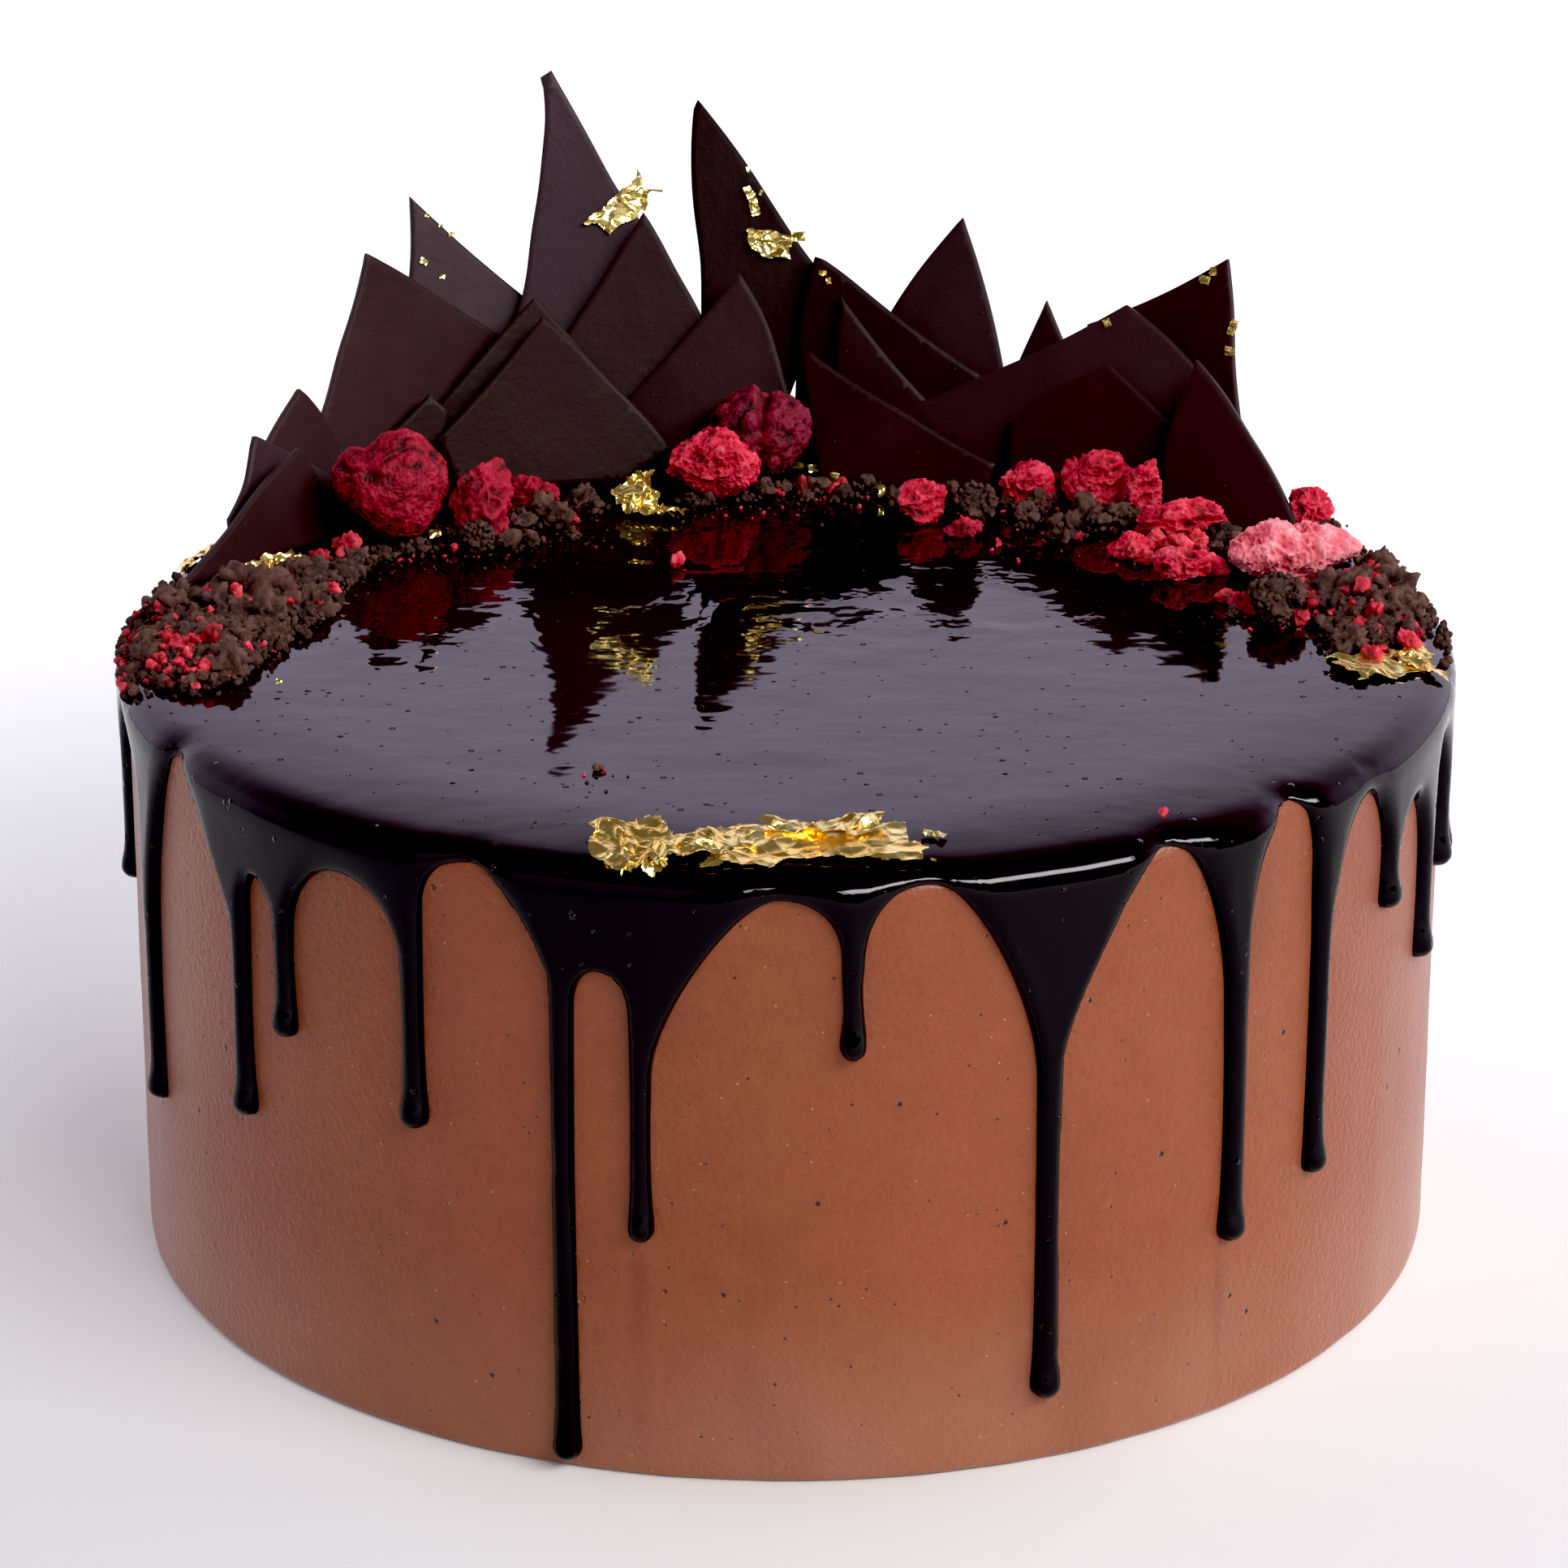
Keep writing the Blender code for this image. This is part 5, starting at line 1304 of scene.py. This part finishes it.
# crumbs at the very edge, where the left heap runs over the rim: turn around the cake in degrees
def rim_rows(first, last, count, seed, kind, low, high):
    rng = np.random.default_rng(seed)
    rows = []
    for _ in range(count):
        a = math.radians(rng.uniform(first, last))
        g = float(rng.uniform(low, high))
        r = 101.4 - abs(rng.normal(0, 1.7))
        x, y = r * math.cos(a), r * math.sin(a)
        rows.append((x, y, float(glaze_z(np.array([x]), np.array([y]))[0]) + g * 0.55, g, kind))
    return rows


for key, seed, amount, red in (("crumb_heap_left", 3, 1.0, red_left), ("crumb_heap_right", 14, 0.62, red_right)):
    v, f = heap_core(key, crumb)
    # the core carries no 'high' values and takes the darker end of the crumb colours: painted shade for the shadowed
    # inside of the heap
    place(build(key + "_core", v, f, crumb), "chocolate_crumb", key)
    rows = heap_rows(key, "clump", int(74 * amount) + 4, (1.2, 3.0), seed, 0.25)
    gv, gf, tone_and_painted_relief_light = joined(rows, seed)
    place(build(key + "_clumps", gv, gf, crumb, True, {"high": tone_and_painted_relief_light}), "chocolate_crumb")
    rows = heap_rows(key, "grain", int(430 * amount), (0.55, 1.25), seed + 1, 0.7, 0.70)
    gv, gf, tone_and_painted_relief_light = joined(rows, seed + 1)
    place(build(key + "_grains", gv, gf, crumb, True, {"high": tone_and_painted_relief_light}), "chocolate_crumb")
    rows = heap_rows(key, "small", int(1350 * amount), (0.28, 0.65), seed + 2, 1.6)
    pts, rng = scattered(HEAPS[key][0], int(420 * amount), seed + 6, 6.0)
    near = np.array(HEAPS[key][0] + HEAPS[key][0][:1], float)
    away = border_distance(pts, near, 30.0)
    outside = ~inside_many(pts, HEAPS[key][0])
    for (x, y), gap in zip(pts[outside], away[outside]):
        g = float(rng.uniform(0.16, 0.42))
        rows.append((x, y, float(glaze_z(np.array([x]), np.array([y]))[0]) + g * 0.5, g, "small"))
    if key == "crumb_heap_left":
        rows += rim_rows(164, 196, 90, 41, "small", 0.35, 1.0)
    else:
        rows += rim_rows(-8, 12, 44, 43, "small", 0.35, 0.9)
    gv, gf, tone_and_painted_relief_light = joined(rows, seed + 2)
    place(build(key + "_fines", gv, gf, crumb, True, {"high": tone_and_painted_relief_light}), "chocolate_crumb")
    rows = heap_rows(key, "chip", int(460 * amount), (0.35, 0.85), seed + 3, 2.3, 0.85, red)
    rows += heap_rows(key, "chip", int(70 * amount), (0.7, 1.3), seed + 4, 1.5, 0.85, red)
    if key == "crumb_heap_left":
        rows += rim_rows(172, 197, 34, 42, "chip", 0.35, 0.8)
    gv, gf, tone_and_painted_relief_light = joined(rows, seed + 3)
    place(build(key + "_red_bits", gv, gf, bits, True, {"high": tone_and_painted_relief_light}), "dried_berry")

for key, (x, y, rx, ry, rz) in CLUSTERS.items():
    rng = np.random.default_rng(sum(map(ord, key)))
    rows = [(x, y, REST + rz * 0.76, min(rx, ry) * 0.84, "clump")]
    for i in range(9):
        a = 2 * math.pi * (i + rng.uniform(-0.3, 0.3)) / 9
        tall = rng.uniform(0.35, 1.20)
        k = 0.62 * math.sqrt(max(0.1, 1 - (tall - 0.85) ** 2))
        rows.append((x + rx * k * math.cos(a), y + ry * k * math.sin(a), REST + rz * tall, rz * rng.uniform(0.30, 0.42), "clump"))
    for _ in range(110):
        d = rng.normal(size=3)
        d /= np.linalg.norm(d)
        rows.append((x + d[0] * rx * 0.95, y + d[1] * ry * 0.95, REST + rz * 0.85 + d[2] * rz * 0.95, rng.uniform(0.25, 0.6), "small"))
    gv, gf, tone_and_painted_relief_light = joined(rows, 5)
    gv[:, 2] = np.maximum(gv[:, 2], GLAZE_TOP - 0.4)
    place(build(key, gv, gf, crumb, True, {"high": tone_and_painted_relief_light}), "chocolate_crumb", key)

# crumbs along the feet of the shards, placed by their pixels in the photograph: x, y, radius
LINE = [
    (575, 642, 1.2), (600, 655, 1.3), (640, 642, 2.0), (666, 628, 2.2), (690, 636, 2.0), (716, 616, 2.1), (652, 664, 1.5), (625, 668, 1.8),
    (702, 655, 1.3), (585, 668, 1.3), (560, 660, 1.2), (545, 652, 1.0), (420, 704, 1.9), (442, 692, 2.4), (470, 682, 1.4), (520, 672, 1.5),
    (500, 676, 1.2), (396, 722, 1.5), (732, 622, 1.4), (850, 613, 1.2), (872, 616, 1.0), (940, 602, 1.8), (966, 600, 1.5), (1010, 597, 1.6),
    (1040, 606, 1.8), (1066, 592, 1.2), (1082, 602, 1.3), (1100, 611, 1.6), (994, 611, 1.0), (920, 613, 1.0), (1262, 634, 2.2), (1277, 622, 2.0),
    (1312, 650, 2.2), (1336, 630, 2.6), (1352, 641, 1.8), (1382, 636, 2.6), (1400, 646, 2.2), (1421, 627, 2.0), (1171, 604, 1.4), (1240, 617, 1.2),
    (1300, 613, 1.5), (1505, 655, 2.2), (1524, 668, 1.6), (1498, 676, 1.2), (1166, 536, 1.9), (1150, 545, 1.3), (1641, 655, 2.4), (1652, 668, 1.6),
    (1672, 682, 1.5), (1697, 690, 1.7), (1520, 752, 0.9), (1660, 790, 2.6), (1684, 784, 2.4), (1706, 776, 2.0), (735, 945, 0.4), (1180, 560, 0.8),
]
RED_BITS = [
    (430, 672, 2.0), (393, 692, 2.2), (405, 729, 1.3), (834, 692, 1.3), (1434, 1000, 0.55), (655, 612, 2.1), (640, 618, 1.5), (672, 606, 1.5),
    (1187, 652, 1.7), (1300, 604, 2.4), (1312, 592, 1.8), (1200, 537, 2.6), (1190, 545, 1.6), (1398, 680, 1.7), (1412, 688, 1.2), (1386, 676, 1.1),
    (1440, 672, 2.0), (1456, 676, 1.6), (1470, 668, 1.9), (1484, 678, 1.3), (1426, 664, 1.3), (1036, 598, 1.5), (1024, 606, 1.1), (988, 600, 1.2),
    (590, 598, 1.0), (616, 668, 0.7), (706, 640, 0.8), (560, 676, 0.7), (1528, 742, 1.7), (1512, 735, 1.2), (1545, 752, 1.0), (1606, 735, 2.1),
    (1600, 760, 1.5), (1622, 718, 1.9), (1590, 722, 1.2), (1100, 560, 0.9), (1330, 662, 0.8), (960, 606, 0.8), (1230, 668, 0.6), (1688, 806, 1.7), (1700, 800, 1.2), (1735, 790, 1.6), (1745, 782, 1.3), (1632, 742, 1.6), (1650, 735, 1.3),
]


def on_top(px, py, lift):
    """The point over the top glaze that this pixel of the 1932 x 1932 frame shows."""
    ahead = np.array((-0.000308, 0.935085, -0.354423))
    side = np.cross(ahead, (0, 0, 1.0))
    side /= np.linalg.norm(side)
    up = np.cross(side, ahead)
    u, v = (px / 1932.0 - 0.5) * 36.0 / 126.733, (0.5 - py / 1932.0) * 36.0 / 126.733
    ray = ahead + side * u + up * v
    eye = np.array((0.0, -796.48, 369.96))
    return eye + ray * ((REST + lift - eye[2]) / ray[2])


rng = np.random.default_rng(77)
rows, fines = [], []
for px, py, r in LINE:
    x, y, z = on_top(px, py, r * 0.55)
    rows.append((x, y, z, r * 0.92, "clump" if r > 1.9 else "grain"))
    for _ in range(int(7 + 5 * r)):
        a, k = rng.uniform(0, 2 * math.pi), rng.uniform(0.5, 1.7)
        g = rng.uniform(0.22, 0.62)
        gx, gy = x + r * k * math.cos(a), y + r * k * math.sin(a)
        on = REST + g * 0.3 if k > 1.05 else z + r * rng.uniform(-0.2, 0.7)
        fines.append((gx, gy, on, g, "small"))
gv, gf, tone_and_painted_relief_light = joined(rows, 21)
gv[:, 2] = np.maximum(gv[:, 2], GLAZE_TOP - 0.3)
place(build("crumb_line_clumps", gv, gf, crumb, True, {"high": tone_and_painted_relief_light}), "chocolate_crumb")
# a thin dust of crumbs strays from the toppings onto the glaze
for _ in range(420):
    px, py, r = LINE[rng.integers(len(LINE))]
    x, y, z = on_top(px + rng.normal(0, 26), py + abs(rng.normal(0, 13)) + 4, 0.2)
    if math.hypot(x, y) < 92:
        g = rng.uniform(0.10, 0.30)
        fines.append((x, y, GLAZE_TOP + g * 0.2, g, "small"))
gv, gf, tone_and_painted_relief_light = joined(fines, 22)
gv[:, 2] = np.maximum(gv[:, 2], GLAZE_TOP - 0.3)
place(build("crumb_line_fines", gv, gf, crumb, True, {"high": tone_and_painted_relief_light}), "chocolate_crumb")
rows = []
for px, py, r in RED_BITS:
    x, y, z = on_top(px, py, r * 0.55)
    rows.append((x, y, z, r * 1.05, "flake"))
for _ in range(150):
    px, py, r = (LINE + RED_BITS)[rng.integers(len(LINE) + len(RED_BITS))]
    x, y, z = on_top(px + rng.normal(0, 20), py + abs(rng.normal(0, 9)) + 3, 0.2)
    if math.hypot(x, y) < 92:
        g = rng.uniform(0.14, 0.42)
        rows.append((x, y, GLAZE_TOP + g * 0.3, g, "chip"))
gv, gf, tone_and_painted_relief_light = joined(rows, 23)
gv[:, 2] = np.maximum(gv[:, 2], GLAZE_TOP - 0.3)
place(build("red_bits", gv, gf, bits, True, {"high": tone_and_painted_relief_light}), "dried_berry")

X, Y, Z = np.array((1.0, 0, 0)), np.array((0, 1.0, 0)), np.array((0, 0, 1.0))


def turned(a, b, deg):
    c, s = math.cos(math.radians(deg)), math.sin(math.radians(deg))
    return a * c + b * s, b * c - a * s


def top_foil(cx, cy, hu, hv, turn, height, seed, **kw):
    a, b = turned(X, Y, turn)
    return foil("", gold, (cx, cy, 0), a, b, Z, hu, hv, height, seed, drape=drape_on_cake, **kw)


def standing_foil(cx, cy, hu, hv, turn, lean, height, seed, **kw):
    """A scrap that stands up, leaning back; lean is its angle from flat."""
    a, b = turned(X, Y, turn)
    c, t = math.cos(math.radians(lean)), math.sin(math.radians(lean))
    along = b * c + Z * t
    out = Z * c - b * t
    return foil("", gold, np.array((cx, cy, REST)) + along * hv * 0.9, a, along, out, hu, hv, height, seed, **kw)


def pixel_foil(px, py, hu, hv, turn, lean, seed):
    x, y, z = on_top(px, py, 0.3)
    return standing_foil(x, y, hu, hv, turn, lean, 0.7, seed, nu=12, nv=10, fold=0.4)


front = [
    top_foil(-21.5, -92.6, 5.6, 6.8, 10, 3.0, 11, nu=40, nv=44, fold=0.9),
    top_foil(-20.0, -96.2, 4.6, 3.2, -12, 2.6, 12, nu=34, nv=24, fold=0.7),
    top_foil(-10.5, -92.2, 7.5, 2.8, 6, 2.6, 13, nu=56, nv=22, fold=0.6),
    top_foil(-14.0, -93.6, 5.2, 3.9, 14, 3.0, 18, nu=38, nv=28, fold=0.5, ragged=0.2),
    top_foil(4.2, -91.6, 15.2, 6.0, 2, 1.7, 14, nu=90, nv=40, fold=0.4, ragged=0.32),
    top_foil(5.0, -88.2, 9.0, 2.4, 4, 3.6, 15, nu=60, nv=20, fold=0.6),
    top_foil(20.5, -88.6, 2.2, 1.1, -20, 1.2, 16, nu=16, nv=10, fold=0.2),
    top_foil(17.4, -91.8, 1.3, 0.7, 30, 0.8, 17, nu=12, nv=8, fold=0.1),
]
place(foil_object("gold_leaf_front", front, gold), "gold_leaf", "gold_leaf_front")
right = [top_foil(89.8, -19.4, 7.8, 4.6, 24, 2.2, 21, nu=54, nv=32, ragged=0.5), top_foil(94.0, -15.4, 4.0, 3.2, 60, 2.8, 22, nu=30, nv=24, ragged=0.4)]
place(foil_object("gold_leaf_right", right, gold), "gold_leaf", "gold_leaf_right")
mid = [
    standing_foil(-24.6, 54.2, 3.4, 3.6, -20, 62, 1.8, 23, nu=26, nv=28, fold=0.9),
    standing_foil(-22.8, 52.4, 2.6, 2.2, 14, 38, 1.6, 24, nu=22, nv=20, fold=0.8),
    top_foil(-19.0, 52.6, 3.2, 1.9, -12, 2.6, 26, nu=26, nv=16, fold=0.7),
    top_foil(-21.6, 55.0, 4.6, 2.6, -14, 1.8, 27, nu=30, nv=20, fold=0.7),
]
place(foil_object("gold_leaf_mid", mid, gold), "gold_leaf", "gold_leaf_mid")
scraps = [
    pixel_foil(539, 662, 1.5, 0.9, 10, 50, 41), pixel_foil(552, 655, 0.9, 0.7, -30, 60, 42), pixel_foil(982, 576, 1.6, 0.7, -14, 40, 43),
    pixel_foil(1004, 582, 1.5, 0.9, 10, 50, 44), pixel_foil(1030, 596, 1.1, 1.1, -30, 70, 45), pixel_foil(1038, 602, 0.8, 0.6, 20, 40, 46),
    pixel_foil(1086, 612, 0.7, 1.2, 30, 74, 47), pixel_foil(1498, 704, 0.7, 1.1, 10, 74, 48), pixel_foil(345, 842, 0.5, 0.5, 10, 40, 49),
    pixel_foil(1262, 622, 0.5, 0.4, 10, 40, 50),
]
place(foil_object("gold_scraps", scraps, gold), "gold_leaf")
rim = [top_foil(-92.2, 39.2, 6.6, 2.6, 62, 2.4, 25, nu=48, nv=20), top_foil(-94.4, 33.6, 3.4, 1.8, 70, 2.0, 28, nu=26, nv=14)]
place(foil_object("gold_leaf_rim", rim, gold), "gold_leaf", "gold_leaf_rim")


def shard_foil(on, u, v, hu, hv, turn, height, seed, **kw):
    foot, across, up, out = shard_frame(on)
    c = foot + across * u + up * v + out * (SHARD_THICK / 2 + 0.12 + shard_bow(on, np.array(v)))
    a, b = turned(across, up, turn)
    return foil("", gold, c, a, b, out, hu, hv, height, seed, **kw)


tall_left = [shard_foil("shard_tall_left", 3.6, 41.6, 7.0, 2.6, 44, 1.6, 31, nu=50, nv=20, fold=0.7)]
place(foil_object("gold_leaf_tall_left", tall_left, gold), "gold_leaf", "gold_leaf_tall_left")
tall_right = [shard_foil("shard_tall_right", -3.0, 35.2, 4.2, 2.3, -12, 1.4, 32, nu=34, nv=20, fold=0.6),
              shard_foil("shard_tall_right", -6.4, 42.6, 0.8, 2.6, 20, 0.6, 33, nu=10, nv=20, ragged=0.6),
              shard_foil("shard_tall_right", 1.6, 36.4, 1.5, 1.0, 0, 0.6, 34, nu=14, nv=10)]
place(foil_object("gold_leaf_tall_right", tall_right, gold), "gold_leaf", "gold_leaf_tall_right")
left = [
    standing_foil(-82.4, 23.6, 2.8, 1.5, 40, 52, 1.3, 35, nu=26, nv=14, fold=0.6),
    standing_foil(-79.0, 26.4, 3.6, 1.1, 48, 40, 1.2, 36, nu=28, nv=12, fold=0.5),
    standing_foil(-76.6, 28.8, 1.6, 0.8, 50, 50, 0.7, 37, nu=16, nv=10, fold=0.4),
]
place(foil_object("gold_leaf_left", left, gold), "gold_leaf", "gold_leaf_left")

# specks on the shards, by name of the shard and place across and up
SPECKS = [
    ("shard_left_back", -9.6, 33.0, 0.9, 0.6), ("shard_left_back", -7.0, 30.5, 0.5, 0.5), ("shard_left_back", -6.6, 39.0, 0.6, 0.4),
    ("shard_left_back", -4.6, 37.4, 0.7, 0.4), ("shard_left_back", -8.4, 41.0, 0.4, 0.4), ("shard_right_back", -12.4, 34.6, 1.7, 0.9),
    ("shard_right_back", -11.0, 36.4, 0.8, 0.9), ("shard_long_blade", 9.6, 27.2, 0.7, 0.9), ("shard_right_back", -5.9, 27.6, 0.7, 1.6),
    ("shard_right_back", -5.4, 23.9, 0.9, 0.7), ("shard_tall_right", -7.0, 47.6, 0.5, 1.2), ("shard_tall_right", -4.6, 43.6, 0.4, 0.8),
    ("shard_right_ridge", -9.8, 30.6, 0.8, 0.5), ("shard_right_ridge", -8.6, 29.2, 0.5, 0.5),
]
specks = [shard_foil(on, u, v, hu, hv, 17 * i % 60 - 30, 0.4, 60 + i, nu=10, nv=8, fold=0.25, ragged=0.5) for i, (on, u, v, hu, hv) in enumerate(SPECKS)]
place(foil_object("gold_specks", specks, gold), "gold_leaf")

# stage -------------------------------------------------------------------------------------------
floor_mesh = bpy.data.meshes.new("floor")
floor_mesh.from_pydata([(-4, -4, -0.0001), (4, -4, -0.0001), (4, 4, -0.0001), (-4, 4, -0.0001)], [], [(0, 1, 2, 3)])
fm, fnt, fb = new_material("pale_floor")
fv = coords(fnt)
fnt.links.new(ramp(fnt, noise_tex(fnt, fv, 3.0, 2.0), [(0.0, (0.86, 0.86, 0.87)), (1.0, (0.88, 0.88, 0.89))]), fb.inputs["Base Color"])
fb.inputs["Roughness"].default_value = 0.8
fb.inputs["Specular IOR Level"].default_value = 0.2
# painted light: the floor glows faintly, more towards the back
fb.inputs["Emission Color"].default_value = (1.0, 1.0, 1.0, 1.0)
fsep = fnt.nodes.new("ShaderNodeSeparateXYZ")
fnt.links.new(fv, fsep.inputs["Vector"])
fnt.links.new(remap(fnt, fsep.outputs["Y"], -0.15, 0.35, 0.0, 0.38), fb.inputs["Emission Strength"])
floor_mesh.materials.append(fm)
floor = bpy.data.objects.new("floor", floor_mesh)
bpy.context.scene.collection.objects.link(floor)

world = bpy.data.worlds.new("studio")
bpy.context.scene.world = world
world.use_nodes = True
wnt = world.node_tree
bg = wnt.nodes["Background"]
tc = wnt.nodes.new("ShaderNodeTexCoord")
sep = wnt.nodes.new("ShaderNodeSeparateXYZ")
wnt.links.new(tc.outputs["Generated"], sep.inputs["Vector"])
back = remap(wnt, sep.outputs["Y"], -0.25, 0.55, 0.0, 1.0)
rise = ramp(wnt, sep.outputs["Z"], [(0.0, (1.12, 1.12, 1.12)), (0.22, (1.30, 1.30, 1.30)), (0.42, (1.12, 1.12, 1.12)), (0.56, (0.62, 0.62, 0.62)), (0.70, (0.20, 0.20, 0.20)), (0.82, (0.08, 0.08, 0.08))])
white = mix(wnt, 1.0, rise, (0.94, 0.85, 1.09), "MULTIPLY")
col = mix(wnt, back, (0.050, 0.045, 0.056), white)
wnt.links.new(col, bg.inputs["Color"])
bg.inputs["Strength"].default_value = 1.0


def area(name, at, to, size, power, colour=(1, 1, 1), size_y=None):
    light = bpy.data.lights.new(name, "AREA")
    light.energy = power
    light.color = colour
    light.shape = "RECTANGLE"
    light.size = size
    light.size_y = size_y or size
    ob = bpy.data.objects.new(name, light)
    bpy.context.scene.collection.objects.link(ob)
    ob.location = at
    ob.rotation_euler = (Vector(to) - Vector(at)).to_track_quat("-Z", "Y").to_euler()
    return ob


area("key", (0.82, -0.92, 1.00), (0, 0, 0.05), 1.5, 21.5, (1.0, 0.98, 0.95), size_y=0.5)
left_light = area("left", (-1.30, 0.70, 0.78), (0, 0, 0.05), 1.6, 9.5, (0.90, 0.94, 1.0), size_y=1.1)
right_light = area("right", (1.32, 0.55, 0.80), (0, 0, 0.05), 1.6, 13.0, (0.97, 0.98, 1.0), size_y=1.1)
left_light.visible_glossy = False
right_light.visible_glossy = False
area("fill", (-0.75, -1.10, 0.70), (0, 0, 0.10), 0.9, 1.5, (0.95, 0.96, 1.0), size_y=0.7)
gloss = area("key_gloss", (0.70, -0.96, 0.98), (0, 0, 0.05), 1.5, 26.0, size_y=0.36)
gloss.visible_diffuse = False

camera = bpy.data.cameras.new("camera")
camera.lens = 126.733
camera.sensor_width = 36.0
camera.clip_start = 0.01
cam = bpy.data.objects.new("camera", camera)
bpy.context.scene.collection.objects.link(cam)
cam.location = (0.0, -0.79648, 0.36996)
cam.rotation_euler = Vector((-0.000308, 0.935085, -0.354423)).to_track_quat("-Z", "Y").to_euler()
bpy.context.scene.camera = cam
view = bpy.context.scene.view_settings
view.view_transform = "Standard"
view.use_curve_mapping = True
view.curve_mapping.black_level = (0.0155, 0.0150, 0.0160)
view.curve_mapping.update()
